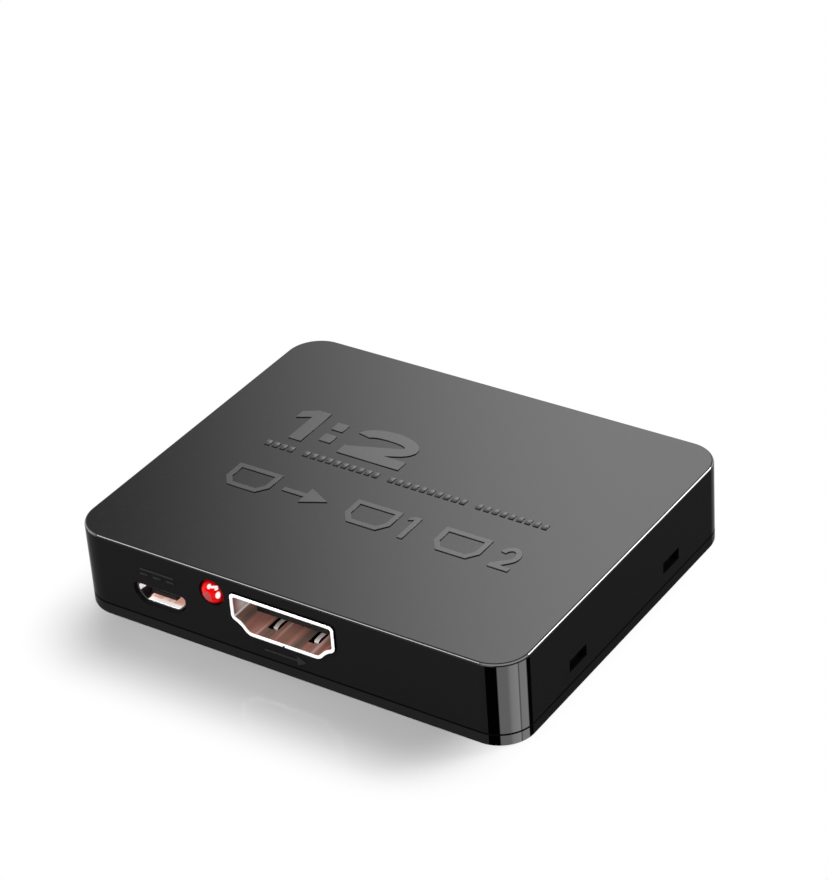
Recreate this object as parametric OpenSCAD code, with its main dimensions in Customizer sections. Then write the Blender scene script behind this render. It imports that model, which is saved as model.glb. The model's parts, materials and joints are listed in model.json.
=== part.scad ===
// HDMI splitter: one input, two outputs, powered through a micro-USB socket.
// A two-part snap-fit case closes round a circuit board with its sockets, lamps and chips.
// X runs along the long side, Y from the input face (-Y) to the output face (+Y), Z is up.
// The origin lies under the middle of the case, on the surface that it stands on.
// Lengths are in millimetres.

/* [Case] */
// Length of the case along X
case_w = 63.3; // [63:0.1:80]
// Depth of the case from the input face to the output face
case_d = 51.7; // [51:0.1:70]
// Radius of the upright corners
corner_r = 4.6; // [3.5:0.1:6]
// Thickness of the side walls
wall_t = 1.5; // [1.2:0.1:1.6]
// Thickness of the cover's top
top_t = 1; // [0.8:0.1:2]
// Thickness of the tray's floor
floor_t = 1.2; // [1:0.1:1.6]
// Height of the seam between cover and tray
seam_z = 1.7; // [1.6:0.1:2.2]
// Rounding of the cover's top edge
edge_r = 0.35; // [0.1:0.05:0.8]
// Chamfer round the tray's bottom edge
foot_chamfer = 0.3; // [0.1:0.05:0.6]
// Chamfer on both sides of the seam, which makes its groove
seam_chamfer = 0.13; // [0.05:0.01:0.3]
// Radius of the small corners inside the case
inner_r = 0.5; // [0.2:0.1:1]

/* [Snap catches] */
// Distance of each catch from the middle of the side
catch_y = 11.2; // [9:0.1:13]
// Length of the window in the cover
window_w = 3.9; // [3:0.1:5]
// Height of the window
window_h = 1.65; // [1.3:0.05:2]
// Height of the window's lower edge above the table
window_z = 3.4; // [3:0.1:4]
// Space between a hook and the ends of its window
hook_gap = 0.3; // [0.1:0.05:0.5]
// Thickness of the tray's lip and of its hooks
lip_t = 0.9; // [0.6:0.05:1.2]
// Height of the lip above the seam
lip_h = 0.7; // [0.4:0.1:0.9]
// Space between the lip and the cover's wall
lip_gap = 0.1; // [0.05:0.05:0.2]
// How far a hook's nose reaches into its window
nose_reach = 0.9; // [0.5:0.1:1.3]
// How far a hook rises above its nose
hook_head = 0.45; // [0.3:0.05:1]

/* [Circuit board] */
// Thickness of the board
board_t = 1.2; // [0.8:0.1:1.6]
// Space between the tray's floor and the board
under_board = 1.45; // [1.3:0.05:2]
// Space between the board and the cover's walls, past the lip
board_gap = 0.45; // [0.3:0.05:1]
// Space between the board and the two socket faces of the cover
board_end_gap = 0.3; // [0.2:0.05:1]
// Diameter of the posts that clamp the board
post_d = 3.8; // [3.4:0.1:4.4]
// Diameter of the locating pins
pin_d = 1.8; // [1.5:0.1:2.2]
// Space round a pin
pin_gap = 0.1; // [0.05:0.05:0.2]
// Height of a pin above the board
pin_rise = 1.2; // [0.8:0.1:2]
// Distance of the posts on the input side from the middle, along Y
post_y = 17.5; // [16.5:0.1:18.5]
// Distance of the posts' middle from the board's edge, along X
post_edge = 2.4; // [2.2:0.1:3]

/* [HDMI sockets] */
// Outer width of a socket's metal shell
hdmi_w = 15; // [14.6:0.1:15.4]
// Outer height of the shell
hdmi_h = 5.45; // [5.2:0.05:5.8]
// Width of the shell's bottom
hdmi_base_w = 10.3; // [9.6:0.1:10.8]
// Width between the two inward kinks
hdmi_kink_w = 12.6; // [12:0.1:13]
// Height of the kinks above the shell's bottom
hdmi_kink_z = 1.28; // [1:0.02:1.4]
// Height at which the upright sides start
hdmi_side_z = 1.83; // [1.7:0.01:2.1]
// Length of the shell
hdmi_len = 11.5; // [10.8:0.1:12.2]
// Thickness of the shell's sheet metal
shell_t = 0.45; // [0.3:0.05:0.5]
// Rounding of the shell's outer corners
shell_r = 0.55; // [0.3:0.05:0.7]
// How far the shells stand out of the case
shell_proud = 0.3; // [0:0.05:0.6]
// Height of the shell above the board
hdmi_lift = 0.6; // [0.4:0.05:0.9]
// Space between the shells and the cover's top
headroom = 0.8; // [0.6:0.05:2]
// Clear distance between the two output shells
output_gap = 15; // [14:0.1:15.6]
// Space between a shell and its opening in the cover
opening_gap = 0.12; // [0.08:0.02:0.2]
// Width of the insulator's tongue
tongue_w = 10.3; // [10.2:0.1:11.2]
// Thickness of the tongue
tongue_t = 0.8; // [0.7:0.05:1.3]
// Height of the tongue's underside above the shell's bottom
tongue_z = 2.25; // [1.9:0.05:2.4]
// Depth of the tongue's tip inside the mouth
tongue_in = 2.2; // [1.8:0.1:3]
// Depth of the mouth in front of the insulator's block
mouth_depth = 7.5; // [7:0.1:8]
// Width of a spring finger
finger_w = 0.8; // [0.6:0.05:1.2]
// Width of the slot round a spring finger
finger_slot = 0.32; // [0.2:0.02:0.5]
// Distance of a finger from the middle of the shell
finger_x = 2.95; // [2.4:0.05:3.6]
// Depth at which the finger's slot starts
finger_in = 1.9; // [1.5:0.1:2.4]
// Radius of the pressed bead on a finger
bead_r = 0.38; // [0.3:0.02:0.5]
// Width of the folded seam's notch in the shell's bottom edge
fold_notch = 0.18; // [0.1:0.02:0.4]
// Depth of that notch from the mouth
fold_notch_len = 0.5; // [0.3:0.1:1]
// Number of contacts over the tongue
contacts_over = 10; // [6:1:10]
// Distance from one contact to the next
contact_pitch = 1; // [0.9:0.02:1]
// Width of a contact
contact_w = 0.36; // [0.2:0.02:0.4]
// Thickness of a contact
contact_t = 0.15; // [0.1:0.01:0.2]
// Length of a contact's foot on the board
contact_foot = 0.9; // [0.5:0.1:1.2]
// Width of a shell's leg along Y
leg_w = 1.4; // [1:0.1:1.8]
// Depth of the front legs behind the mouth
leg_in = 4; // [3.6:0.1:4.6]
// Distance between the front and the rear legs
leg_pitch = 5; // [4.4:0.1:5.6]
// How far a leg reaches past the board's underside
leg_tail = 0.6; // [0.3:0.1:0.9]
// Space between a leg or a wire and its hole in the board
leg_gap = 0.12; // [0.08:0.02:0.2]

/* [Micro-USB socket] */
// Outer width of the socket's shell
usb_w = 7.5; // [7.2:0.1:7.8]
// Outer height of the shell
usb_h = 2.5; // [2.4:0.05:3]
// Width of the shell's bottom
usb_base_w = 5.1; // [4.8:0.1:5.6]
// Height at which the upright sides start
usb_side_z = 1.3; // [1:0.05:1.5]
// Length of the shell
usb_len = 5; // [4.6:0.1:5.6]
// Thickness of the shell's sheet metal
usb_t = 0.28; // [0.2:0.02:0.35]
// How far the shell stays behind the case's face
usb_recess = 0.45; // [0.2:0.05:0.8]
// Clear distance between this shell and the input's shell
usb_gap = 7.25; // [6.6:0.05:7.6]
// Space between the shell and its opening in the cover
usb_opening_gap = 0.2; // [0.1:0.02:0.3]
// Depth of the mouth in front of the insulator's block
usb_mouth = 3.2; // [2.8:0.1:3.6]
// Width of the tongue
usb_tongue_w = 3.7; // [3.4:0.1:4.2]
// Thickness of the tongue
usb_tongue_t = 0.6; // [0.4:0.05:0.7]
// Distance between the contacts
usb_pitch = 0.65; // [0.6:0.01:0.7]
// Number of contacts
usb_contacts_n = 5; // [4:1:5]

/* [Indicator lamps] */
// Diameter of a lamp
led_d = 3.4; // [2.8:0.1:3.5]
// How far a lamp's dome stands out of the case
led_proud = 0.75; // [0.3:0.05:1.2]
// Overall length of a lamp
led_len = 5.2; // [4.6:0.1:6]
// Space between a lamp and the cover's top
led_gap = 0.25; // [0.15:0.05:0.6]
// Space round a lamp in the cover's wall
led_hole_gap = 0.08; // [0.05:0.01:0.15]
// Distance between the two output lamps
led_pitch = 5.65; // [5.2:0.05:6]
// Thickness of a lamp's two wires
wire_t = 0.45; // [0.3:0.05:0.5]
// Distance between the two wires of a lamp
wire_pitch = 2; // [1.6:0.1:2.3]
// Distance from a lamp's back to the bend of its wires
wire_back = 0.8; // [0.5:0.1:1.2]

/* [Raised marks] */
// Height of the marks above the surface
mark_t = 0.12; // [0.06:0.02:0.3]
// Height of the large figures on the top
figure_h = 7.1; // [5:0.1:8]
// Stroke of the large figures
figure_stroke = 1.9; // [1:0.1:2]
// Height of the socket symbols on the top
symbol_h = 4.7; // [4:0.1:5.4]
// Stroke of the symbols
symbol_stroke = 0.75; // [0.5:0.05:0.9]
// Length of the row of marks along X
marks_w = 42; // [38:0.5:48]
// Height of the row of small blocks
block_h = 1.05; // [0.8:0.05:1.4]
// Space between the large figures and the row of small blocks
figures_gap = 1.6; // [1:0.1:2]
// Space between the row of small blocks and the socket symbols
symbols_drop = 5; // [1:0.5:6]
// Height of the marks on the two socket faces
label_h = 1.7; // [1.2:0.1:2]
// Stroke of the marks on the two socket faces
label_stroke = 0.24; // [0.16:0.02:0.3]

/* [Board parts] */
// Side of the splitter chip
chip_w = 10; // [8:0.5:11]
// Thickness of the splitter chip
chip_h = 1.1; // [0.9:0.1:1.6]
// Number of pins on each side of it
chip_pins = 16; // [8:1:18]
// Distance between its pins
chip_pitch = 0.5; // [0.45:0.01:0.55]
// Length of the memory chip
memory_w = 4.9; // [4.5:0.1:5.5]
// Width of the memory chip
memory_d = 3.9; // [3.5:0.1:4.5]
// Thickness of the memory chip
memory_h = 1.45; // [1.2:0.05:1.8]
// Length of a regulator
regulator_w = 6.5; // [6:0.1:7]
// Width of a regulator
regulator_d = 3.5; // [3.2:0.1:4]
// Thickness of a regulator
regulator_h = 1.6; // [1.4:0.1:2]
// Length of the crystal's can
crystal_w = 10.4; // [9:0.1:11]
// Width of the crystal's can
crystal_d = 4.4; // [3.8:0.1:5]
// Height of the crystal's can
crystal_h = 3.3; // [2.6:0.1:4]
// Diameter of an electrolytic capacitor
can_d = 5; // [4:0.1:5.4]
// Height of the capacitor's can
can_h = 4.5; // [3.5:0.1:5]
// Height of its plastic base
can_base_h = 0.8; // [0.6:0.1:1.2]
// Side of the power inductor
inductor_w = 5; // [4:0.1:5.5]
// Height of the power inductor
inductor_h = 2.6; // [2:0.1:3.5]
// Length of a small chip capacitor or resistor
part_w = 1.6; // [1.2:0.1:1.8]
// Width of a small chip capacitor or resistor
part_d = 0.8; // [0.6:0.05:1]
// Height of a chip capacitor
cap_h = 0.8; // [0.5:0.05:1]
// Height of a chip resistor
resistor_h = 0.5; // [0.35:0.05:0.6]
// Length of the metal end on a chip capacitor or resistor
end_w = 0.3; // [0.2:0.02:0.4]
// Length of a surge array
array_w = 2.2; // [1.8:0.1:2.4]
// Width of a surge array
array_d = 1; // [0.8:0.05:1.3]
// Height of a surge array
array_h = 0.55; // [0.4:0.05:0.8]

/* [Hidden] */
$fn = 64;

// One overrun serves every cut that leaves its solid
over = 1;
// Steps of a rounded corner or edge
arc_steps = 4;
dome_steps = 12;

// Heights, from the table up
board_z = floor_t + under_board;
board_top = board_z + board_t;
hdmi_z = board_top + hdmi_lift;
ceiling_z = hdmi_z + hdmi_h + headroom;
case_h = ceiling_z + top_t;
led_z = ceiling_z - led_gap - led_d / 2;

// Board outline and posts
board_w = case_w - 2 * (wall_t + lip_gap + lip_t + board_gap);
board_d = case_d - 2 * (wall_t + board_end_gap);
board_r = inner_r;
output_x = (output_gap + hdmi_w) / 2;
post_x = board_w / 2 - post_edge;

// Places of the sockets and lamps along X; the side is -1 for the input face, 1 for the output face
usb_x = -(hdmi_w / 2 + usb_gap + usb_w / 2);
power_led_share = 0.4;
power_led_x = -(hdmi_w / 2 + usb_gap * power_led_share);
output_led_x = led_pitch / 2;

// Small sizes of the board parts
pin_sheet = 0.15;
pin_reach = 1.1;
pin_foot = 0.55;
chip_gap = 0.12;
chip_pin_w = 0.22;
memory_pitch = 1.27;
memory_pins = 4;
memory_pin_w = 0.4;
regulator_pitch = 2.3;
regulator_pin_w = 0.7;
regulator_tab_w = 3;
crystal_rim = 0.35;
crystal_rim_h = 0.5;
crystal_pitch = 4.88;
can_groove_z = 1.1;
can_groove = 0.3;
can_base_rim = 0.15;
can_base_cut = 1;
inductor_end_w = 0.6;
inductor_end_t = 0.2;

// Surge arrays stand in a row behind each HDMI socket, and posts behind the outputs' rows
array_gap = 1.5;
array_spread = 2.7;
array_steps = [-1.5, -0.5, 0.5, 1.5];
array_y = case_d / 2 + shell_proud - hdmi_len - 2 * contact_t - contact_foot - array_gap - array_d / 2;
post_gap = 0.35;
back_post_y = array_y - array_d / 2 - post_gap - post_d / 2;
post_places = [for (sx = [-1, 1], y = [-post_y, back_post_y]) [sx * post_x, y]];

// Places of the board parts, as shares of half the board's length and depth
chip_share = [0, 0.02];
memory_share = [0.5, 0.06];
regulator_shares = [[-0.72, -0.47], [0.69, -0.25]];
can_shares = [[-0.44, -0.64], [0.46, -0.66]];
inductor_share = [0.7, -0.63];
side_cap_shares = [[-0.88, -0.1], [0.88, 0.04]];
resistor_shares = [
    [-0.1, 0.74], [0.1, 0.74], [-0.5, -0.34], [-0.5, -0.24], [0.7, 0.02], [0.7, 0.1], [0.7, 0.18],
    [-0.88, -0.3], [-0.88, -0.2], [0.46, -0.34], [0.46, -0.44], [0.88, -0.44]
];

// Chip capacitors round the splitter chip's pins, and the crystal behind them
chip_cap_gap = 0.4;
chip_cap_pitch = 2.7;
chip_at = at_share(chip_share);
chip_reach = chip_w / 2 + pin_reach + chip_cap_gap;
crystal_at = chip_at + [0, chip_reach + part_d + chip_cap_gap + crystal_rim + crystal_d / 2];
cap_places = concat(
    [for (s = [-1, 1], k = [-1, 0, 1]) chip_at + [s * (chip_reach + part_w / 2), k * chip_cap_pitch]],
    [for (k = [-1.5, -0.5, 0.5, 1.5]) chip_at + [k * chip_cap_pitch, chip_reach + part_d / 2]],
    [for (p = side_cap_shares) at_share(p)]
);

// Shapes by formula

function unit(v) = v / norm(v);

// Place on the board from shares of half its length and depth
function at_share(share) = [share[0] * board_w / 2, share[1] * board_d / 2];

// Points of an arc of radius r that rounds the corner b between a and c
function corner_arc(a, b, c, r) =
    let (
        u = unit(a - b), v = unit(c - b), half = acos(u * v) / 2,
        o = b + unit(u + v) * r / sin(half),
        p = unit(b + u * r / tan(half) - o), q = unit(b + v * r / tan(half) - o)
    )
    [for (i = [0:arc_steps]) o + r * unit(p * (1 - i / arc_steps) + q * i / arc_steps)];

// An outline with all its corners rounded
function rounded(p, r) =
    let (n = len(p))
    [for (i = [0:n - 1]) each corner_arc(p[(i + n - 1) % n], p[i], p[(i + 1) % n], r)];

// An outline that runs counterclockwise, moved inwards by t (outwards where t is negative)
function inset(p, t) =
    let (n = len(p))
    [for (i = [0:n - 1])
        let (
            u = unit(p[i] - p[(i + n - 1) % n]), v = unit(p[(i + 1) % n] - p[i]),
            m = [-u[1], u[0]], k = [-v[1], v[0]]
        )
        p[i] + (m + k) * t / (1 + m * k)];

// Mirror image of the right half of an outline, in counterclockwise order
function both_sides(right) =
    concat(right, [for (i = [len(right) - 1:-1:0]) [-right[i][0], right[i][1]]]);

// Side of the case seen along an edge: a chamfer below, a rounding above
function edge_profile(reach, z0, z1, low, high) = concat(
    [[reach - low, z0], [reach, z0 + low]],
    [for (i = [0:dome_steps / 2]) let (a = 90 * i / (dome_steps / 2))
        [reach - high + high * cos(a), z1 - high + high * sin(a)]]
);

// Block with round upright corners, plain top and bottom
module slab(w, d, r, h) {
    linear_extrude(h) {
        square([w - 2 * r, d], center = true);
        square([w, d - 2 * r], center = true);
        for (sx = [-1, 1], sy = [-1, 1])
            translate([sx * (w / 2 - r), sy * (d / 2 - r)]) circle(r);
    }
}

// Block with round upright corners, a chamfer of size low round its bottom and the edge
// named high round its top, either rounded or cut
module case_block(z0, z1, low, high) {
    rotate([90, 0, 90])
        linear_extrude(case_w - 2 * corner_r, center = true)
            polygon(both_sides(edge_profile(case_d / 2, z0, z1, low, high)));
    rotate([90, 0, 0])
        linear_extrude(case_d - 2 * corner_r, center = true)
            polygon(both_sides(edge_profile(case_w / 2, z0, z1, low, high)));
    for (i = [0:3]) let (sx = i == 0 || i == 3 ? 1 : -1, sy = i < 2 ? 1 : -1)
        translate([sx * (case_w / 2 - corner_r), sy * (case_d / 2 - corner_r), 0])
            rotate(90 * i)
                rotate_extrude(angle = 90)
                    polygon(concat([[0, z0]], edge_profile(corner_r, z0, z1, low, high), [[0, z1]]));
}

// Straight bar between two places of an outline drawn on a plane
module stroke(a, b, t) {
    d = b - a;
    translate(a) rotate(atan2(d[1], d[0])) translate([0, -t / 2]) square([norm(d), t]);
}

// Puts a shape that was drawn in a socket's own frame in its place.
// There the mouth is at Y = 0, Y runs into the case, and Z = 0 is the top of the board.
module at_face(x, side, out) {
    translate([x, side * (case_d / 2 + out), board_top]) rotate(side < 0 ? 0 : 180) children();
}

// Plate drawn as a profile along Y (into the case) and Z, with width w along X
module profile_bar(points, w) {
    rotate([90, 0, 90]) linear_extrude(w, center = true) polygon(points);
}

// HDMI socket

hdmi_outline = both_sides([
    [hdmi_base_w / 2, 0], [hdmi_kink_w / 2, hdmi_kink_z],
    [hdmi_w / 2, hdmi_side_z], [hdmi_w / 2, hdmi_h]
]);
hdmi_inner_r = shell_r - shell_t / 2;

// Solid of the outline, from y0 to y1, moved outwards by grow
module hdmi_solid(grow, r, y0, y1) {
    translate([0, y1, hdmi_lift]) rotate([90, 0, 0])
        linear_extrude(y1 - y0) polygon(rounded(inset(hdmi_outline, -grow), r));
}

leg_x = (hdmi_w - shell_t) / 2;
leg_top = hdmi_lift + hdmi_side_z + leg_w / 2;

// The four legs of one shell, widened by gap for their slots in the board
module hdmi_legs(gap) {
    for (sx = [-1, 1], i = [0, 1])
        translate([sx * leg_x - shell_t / 2 - gap, leg_in + i * leg_pitch - gap, -board_t - leg_tail - gap])
            cube([shell_t + 2 * gap, leg_w + 2 * gap, board_t + leg_tail + leg_top + gap]);
}

foot_w = hdmi_base_w - 4 * shell_t;
foot_y = (mouth_depth + hdmi_len) / 2;

module hdmi_shell() {
    difference() {
        hdmi_solid(0, shell_r, 0, hdmi_len);
        hdmi_solid(-shell_t, hdmi_inner_r, -over, hdmi_len + over);
        // Slots round two spring fingers in the bottom and two in the top
        for (sx = [-1, 1], z = [hdmi_lift, hdmi_lift + hdmi_h - shell_t])
            translate([sx * finger_x, finger_in, z - shell_t / 2]) {
                for (s = [-1, 1])
                    translate([s * (finger_w + finger_slot) / 2 - finger_slot / 2, 0, 0])
                        cube([finger_slot, mouth_depth - finger_in, 2 * shell_t]);
                translate([-finger_w / 2 - finger_slot, 0, 0])
                    cube([finger_w + 2 * finger_slot, finger_slot, 2 * shell_t]);
            }
        // Notch where the sheet metal's two edges meet
        translate([-fold_notch / 2, -over, hdmi_lift - shell_t / 2])
            cube([fold_notch, over + fold_notch_len, 2 * shell_t]);
        // Opening for the insulator's foot
        translate([-foot_w / 2, foot_y, hdmi_lift - shell_t / 2])
            cube([foot_w, hdmi_len, 2 * shell_t]);
    }
    // Pressed beads near the tips of the fingers
    for (sx = [-1, 1], z = [shell_t / 2, hdmi_h - shell_t / 2])
        translate([sx * finger_x, finger_in + finger_slot + 2 * bead_r, hdmi_lift + z])
            rotate([0, 90, 0]) cylinder(h = finger_w, r = bead_r, center = true);
    hdmi_legs(0);
}

contacts_under = contacts_over - 1;
over_places = [for (i = [0:contacts_over - 1]) (i - (contacts_over - 1) / 2) * contact_pitch];
under_places = [for (i = [0:contacts_under - 1]) (i - (contacts_under - 1) / 2) * contact_pitch];
contact_tip = tongue_in + 2 * contact_t;
contact_back = hdmi_len + 2 * contact_t;

// One contact: it lies on the tongue at height z, runs back and down, and ends on the board
module hdmi_contact(x, z) {
    translate([x, 0, 0]) profile_bar([
        [contact_tip, z], [contact_back, z], [contact_back, contact_t],
        [contact_back + contact_foot, contact_t], [contact_back + contact_foot, 0],
        [contact_back - contact_t, 0], [contact_back - contact_t, z - contact_t],
        [contact_tip, z - contact_t]
    ], contact_w);
}

over_z = hdmi_lift + tongue_z + tongue_t + contact_t;
under_z = hdmi_lift + tongue_z;

module hdmi_contacts() {
    for (x = over_places) hdmi_contact(x, over_z);
    for (x = under_places) hdmi_contact(x, under_z);
}

module hdmi_insulator() {
    difference() {
        union() {
            hdmi_solid(-shell_t - opening_gap / 2, hdmi_inner_r, mouth_depth, hdmi_len);
            translate([-tongue_w / 2, tongue_in, hdmi_lift + tongue_z])
                cube([tongue_w, mouth_depth - tongue_in + over, tongue_t]);
            translate([-foot_w / 2 + opening_gap, foot_y + opening_gap, 0])
                cube([foot_w - 2 * opening_gap, hdmi_len - foot_y - opening_gap, hdmi_lift + 2 * shell_t]);
        }
        for (x = over_places)
            translate([x - contact_w / 2, contact_tip, over_z - contact_t])
                cube([contact_w, hdmi_len, contact_t]);
        for (x = under_places)
            translate([x - contact_w / 2, contact_tip, under_z - contact_t])
                cube([contact_w, hdmi_len, contact_t]);
    }
}

// Micro-USB socket

usb_outline = both_sides([[usb_base_w / 2, 0], [usb_w / 2, usb_side_z], [usb_w / 2, usb_h]]);
usb_r = 2 * usb_t;
usb_tongue_z = usb_h - usb_t - usb_tongue_t - 2 * usb_t;
usb_contact_w = usb_pitch / 2;
usb_foot_w = 3 * usb_t;
usb_places = [for (i = [0:usb_contacts_n - 1]) (i - (usb_contacts_n - 1) / 2) * usb_pitch];

module usb_solid(grow, r, y0, y1) {
    translate([0, y1, 0]) rotate([90, 0, 0])
        linear_extrude(y1 - y0) polygon(rounded(inset(usb_outline, -grow), r));
}

module usb_metal() {
    difference() {
        usb_solid(0, usb_r, 0, usb_len);
        usb_solid(-usb_t, usb_r / 2, -over, usb_len + over);
    }
    // Tabs that hold the shell to the board
    for (s = [-1, 1], i = [1, 2]) {
        translate([s * (usb_w + usb_foot_w) / 2 - usb_foot_w / 2, usb_len * i / 3, 0])
            cube([usb_foot_w, usb_foot_w, usb_t]);
        translate([s * (usb_w - usb_t) / 2 - usb_t / 2, usb_len * i / 3, 0])
            cube([usb_t, usb_foot_w, usb_side_z + usb_t]);
    }
}

module usb_strips() {
    for (x = usb_places) translate([x, 0, 0]) profile_bar([
        [usb_recess + usb_t, usb_tongue_z], [usb_len + 2 * contact_t, usb_tongue_z],
        [usb_len + 2 * contact_t, contact_t], [usb_len + contact_foot, contact_t],
        [usb_len + contact_foot, 0], [usb_len + contact_t, 0],
        [usb_len + contact_t, usb_tongue_z - contact_t], [usb_recess + usb_t, usb_tongue_z - contact_t]
    ], usb_contact_w);
}

module usb_block() {
    difference() {
        union() {
            usb_solid(-usb_t, usb_r / 2, usb_mouth, usb_len);
            translate([-usb_tongue_w / 2, usb_recess, usb_tongue_z])
                cube([usb_tongue_w, usb_len - usb_recess, usb_tongue_t]);
        }
        for (x = usb_places)
            translate([x - usb_contact_w / 2, usb_recess + usb_t, usb_tongue_z - contact_t])
                cube([usb_contact_w, usb_len, contact_t]);
    }
}

// Indicator lamp, drawn in the frame of its dome's tip

led_axis_z = led_z - board_top;
wire_bend = led_len + wire_back;
cup_d = wire_pitch - wire_t;

// Wires with the cup that holds the light source, widened by gap
module led_frame(gap) {
    for (s = [-1, 1])
        translate([s * wire_pitch / 2, 0, 0]) profile_bar([
            [led_d / 2 - gap, led_axis_z + wire_t / 2 + gap],
            [wire_bend + wire_t / 2 + gap, led_axis_z + wire_t / 2 + gap],
            [wire_bend + wire_t / 2 + gap, -board_t - leg_tail],
            [wire_bend - wire_t / 2 - gap, -board_t - leg_tail],
            [wire_bend - wire_t / 2 - gap, led_axis_z - wire_t / 2 - gap],
            [led_d / 2 - gap, led_axis_z - wire_t / 2 - gap]
        ], wire_t + 2 * gap);
    // Cup on one wire
    translate([-wire_pitch / 2, led_d / 2 + wire_t, led_axis_z])
        rotate([90, 0, 0]) cylinder(h = wire_t, d = cup_d);
}

module led_lens() {
    difference() {
        translate([0, 0, led_axis_z]) rotate([-90, 0, 0]) rotate_extrude() polygon(concat(
            [for (i = [0:dome_steps]) let (a = 90 * i / dome_steps)
                led_d / 2 * [sin(a), 1 - cos(a)]],
            [[led_d / 2, led_len], [0, led_len]]
        ));
        led_frame(0);
    }
}

// Case

window_y0 = window_w / 2;
lip_out = wall_t + lip_gap;

module seam_cut(z0, z1, grow) {
    translate([0, 0, z0]) slab(case_w - 2 * grow, case_d - 2 * grow, corner_r - grow, z1 - z0);
}

module tray_post(x, y) {
    translate([x, y, floor_t - over / 2]) cylinder(h = under_board + over / 2, d = post_d);
    translate([x, y, floor_t]) cylinder(h = under_board + board_t + pin_rise, d = pin_d);
}

hook_w = window_w - 2 * hook_gap;
nose_z = window_z + lip_gap;
nose_h = window_h - 2 * lip_gap;

module hook(side, y) {
    translate([side * (case_w / 2 - lip_out), y, 0]) mirror([side < 0 ? 1 : 0, 0, 0])
        rotate([90, 0, 0]) linear_extrude(hook_w, center = true) polygon([
            [-lip_t, floor_t], [0, floor_t], [0, nose_z], [nose_reach, nose_z],
            [nose_reach, nose_z + nose_h / 3], [0, nose_z + nose_h],
            [0, nose_z + nose_h + hook_head / 2], [-lip_t / 3, nose_z + nose_h + hook_head],
            [-lip_t, nose_z + nose_h + hook_head]
        ]);
}

module bottom_tray() {
    color("#1c1c1e") {
        difference() {
            union() {
                case_block(0, seam_z, foot_chamfer, seam_chamfer);
                seam_cut(seam_z - seam_chamfer, seam_z + lip_h, lip_out);
            }
            seam_cut(floor_t, seam_z + lip_h + over, lip_out + lip_t);
        }
        for (p = post_places) tray_post(p[0], p[1]);
        for (side = [-1, 1], sy = [-1, 1]) hook(side, sy * catch_y);
    }
}

module top_cover() {
    color("#141416") {
        difference() {
            case_block(seam_z, case_h, seam_chamfer, edge_r);
            seam_cut(seam_z - over, ceiling_z, wall_t);
            // Windows for the snap hooks
            for (sx = [-1, 1], sy = [-1, 1])
                translate([sx * case_w / 2 - wall_t - over / 2, sy * catch_y - window_w / 2, window_z])
                    cube([2 * wall_t + over, window_w, window_h]);
            // Openings for the sockets
            at_face(0, -1, 0) hdmi_solid(opening_gap, shell_r + opening_gap, -over, wall_t + over);
            for (s = [-1, 1])
                at_face(s * output_x, 1, 0)
                    hdmi_solid(opening_gap, shell_r + opening_gap, -over, wall_t + over);
            at_face(usb_x, -1, 0) usb_solid(usb_opening_gap, usb_r + usb_opening_gap, -over, wall_t + over);
            // Holes for the lamps
            at_face(power_led_x, -1, 0) lamp_hole();
            for (s = [-1, 1]) at_face(s * output_led_x, 1, 0) lamp_hole();
        }
        // Posts that press on the board over the tray's pins
        for (p = post_places)
            translate([p[0], p[1], board_top]) difference() {
                cylinder(h = ceiling_z - board_top + top_t / 2, d = post_d);
                translate([0, 0, -over])
                    cylinder(h = pin_rise + pin_gap + over, d = pin_d + 2 * pin_gap);
            }
    }
}

module lamp_hole() {
    translate([0, wall_t + over, led_axis_z]) rotate([90, 0, 0])
        cylinder(h = wall_t + 2 * over, d = led_d + 2 * led_hole_gap);
}

// Marks

// Upright figure one of height h
module figure_one(h, t) {
    translate([-t / 2, 0]) square([t, h]);
    polygon([[-t / 2, h], [-t / 2, h - t * 0.9], [-t * 1.5, h - t * 1.4], [-t * 1.5, h - t * 0.6]]);
}

// Figure two of height h and width w: a bow, a slope down to the left, and a foot
module figure_two(h, w, t) {
    rx = w / 2;
    ry = 0.36 * h;
    turn = [for (i = [0:dome_steps]) let (a = 170 - 215 * i / dome_steps) [cos(a), sin(a)]];
    outer = [for (c = turn) [rx * c[0], h - ry + ry * c[1]]];
    inner = [for (c = turn) [(rx - t) * c[0], h - ry + (ry - t) * c[1]]];
    polygon(concat(outer, [for (i = [dome_steps:-1:0]) inner[i]]));
    polygon([outer[dome_steps], inner[dome_steps], [-rx, t * 0.9], [-rx, 0], [t * 0.9 - rx, 0]]);
    translate([-rx, 0]) square([w, t]);
}

// Outline of a socket's mouth, w wide and h high
module socket_symbol(w, h, t) {
    p = both_sides([[w / 2 - h / 4, 0], [w / 2, h / 3], [w / 2, h]]);
    difference() {
        polygon(p);
        polygon(inset(p, t));
    }
}

// Line with an arrow head at its right end
module arrow(len, head, t) {
    translate([0, -t / 2]) square([len - head / 2, t]);
    polygon([[len - head, -head / 2], [len, 0], [len - head, head / 2]]);
}

symbol_w = 1.4 * symbol_h;
symbols_gap = symbol_h / 3;
block_counts = [4, 10, 10, 9];
blocks = [for (g = [0:len(block_counts) - 1], i = [0:block_counts[g] - 1])
    i + g + (g > 0 ? block_counts[0] : 0) + (g > 1 ? block_counts[1] : 0) + (g > 2 ? block_counts[2] : 0)];
block_pitch = marks_w / (blocks[len(blocks) - 1] + 1);
blocks_y = block_h / 2;
figures_y = blocks_y + block_h + figures_gap;
symbols_y = blocks_y - symbols_drop - symbol_h;

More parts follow.
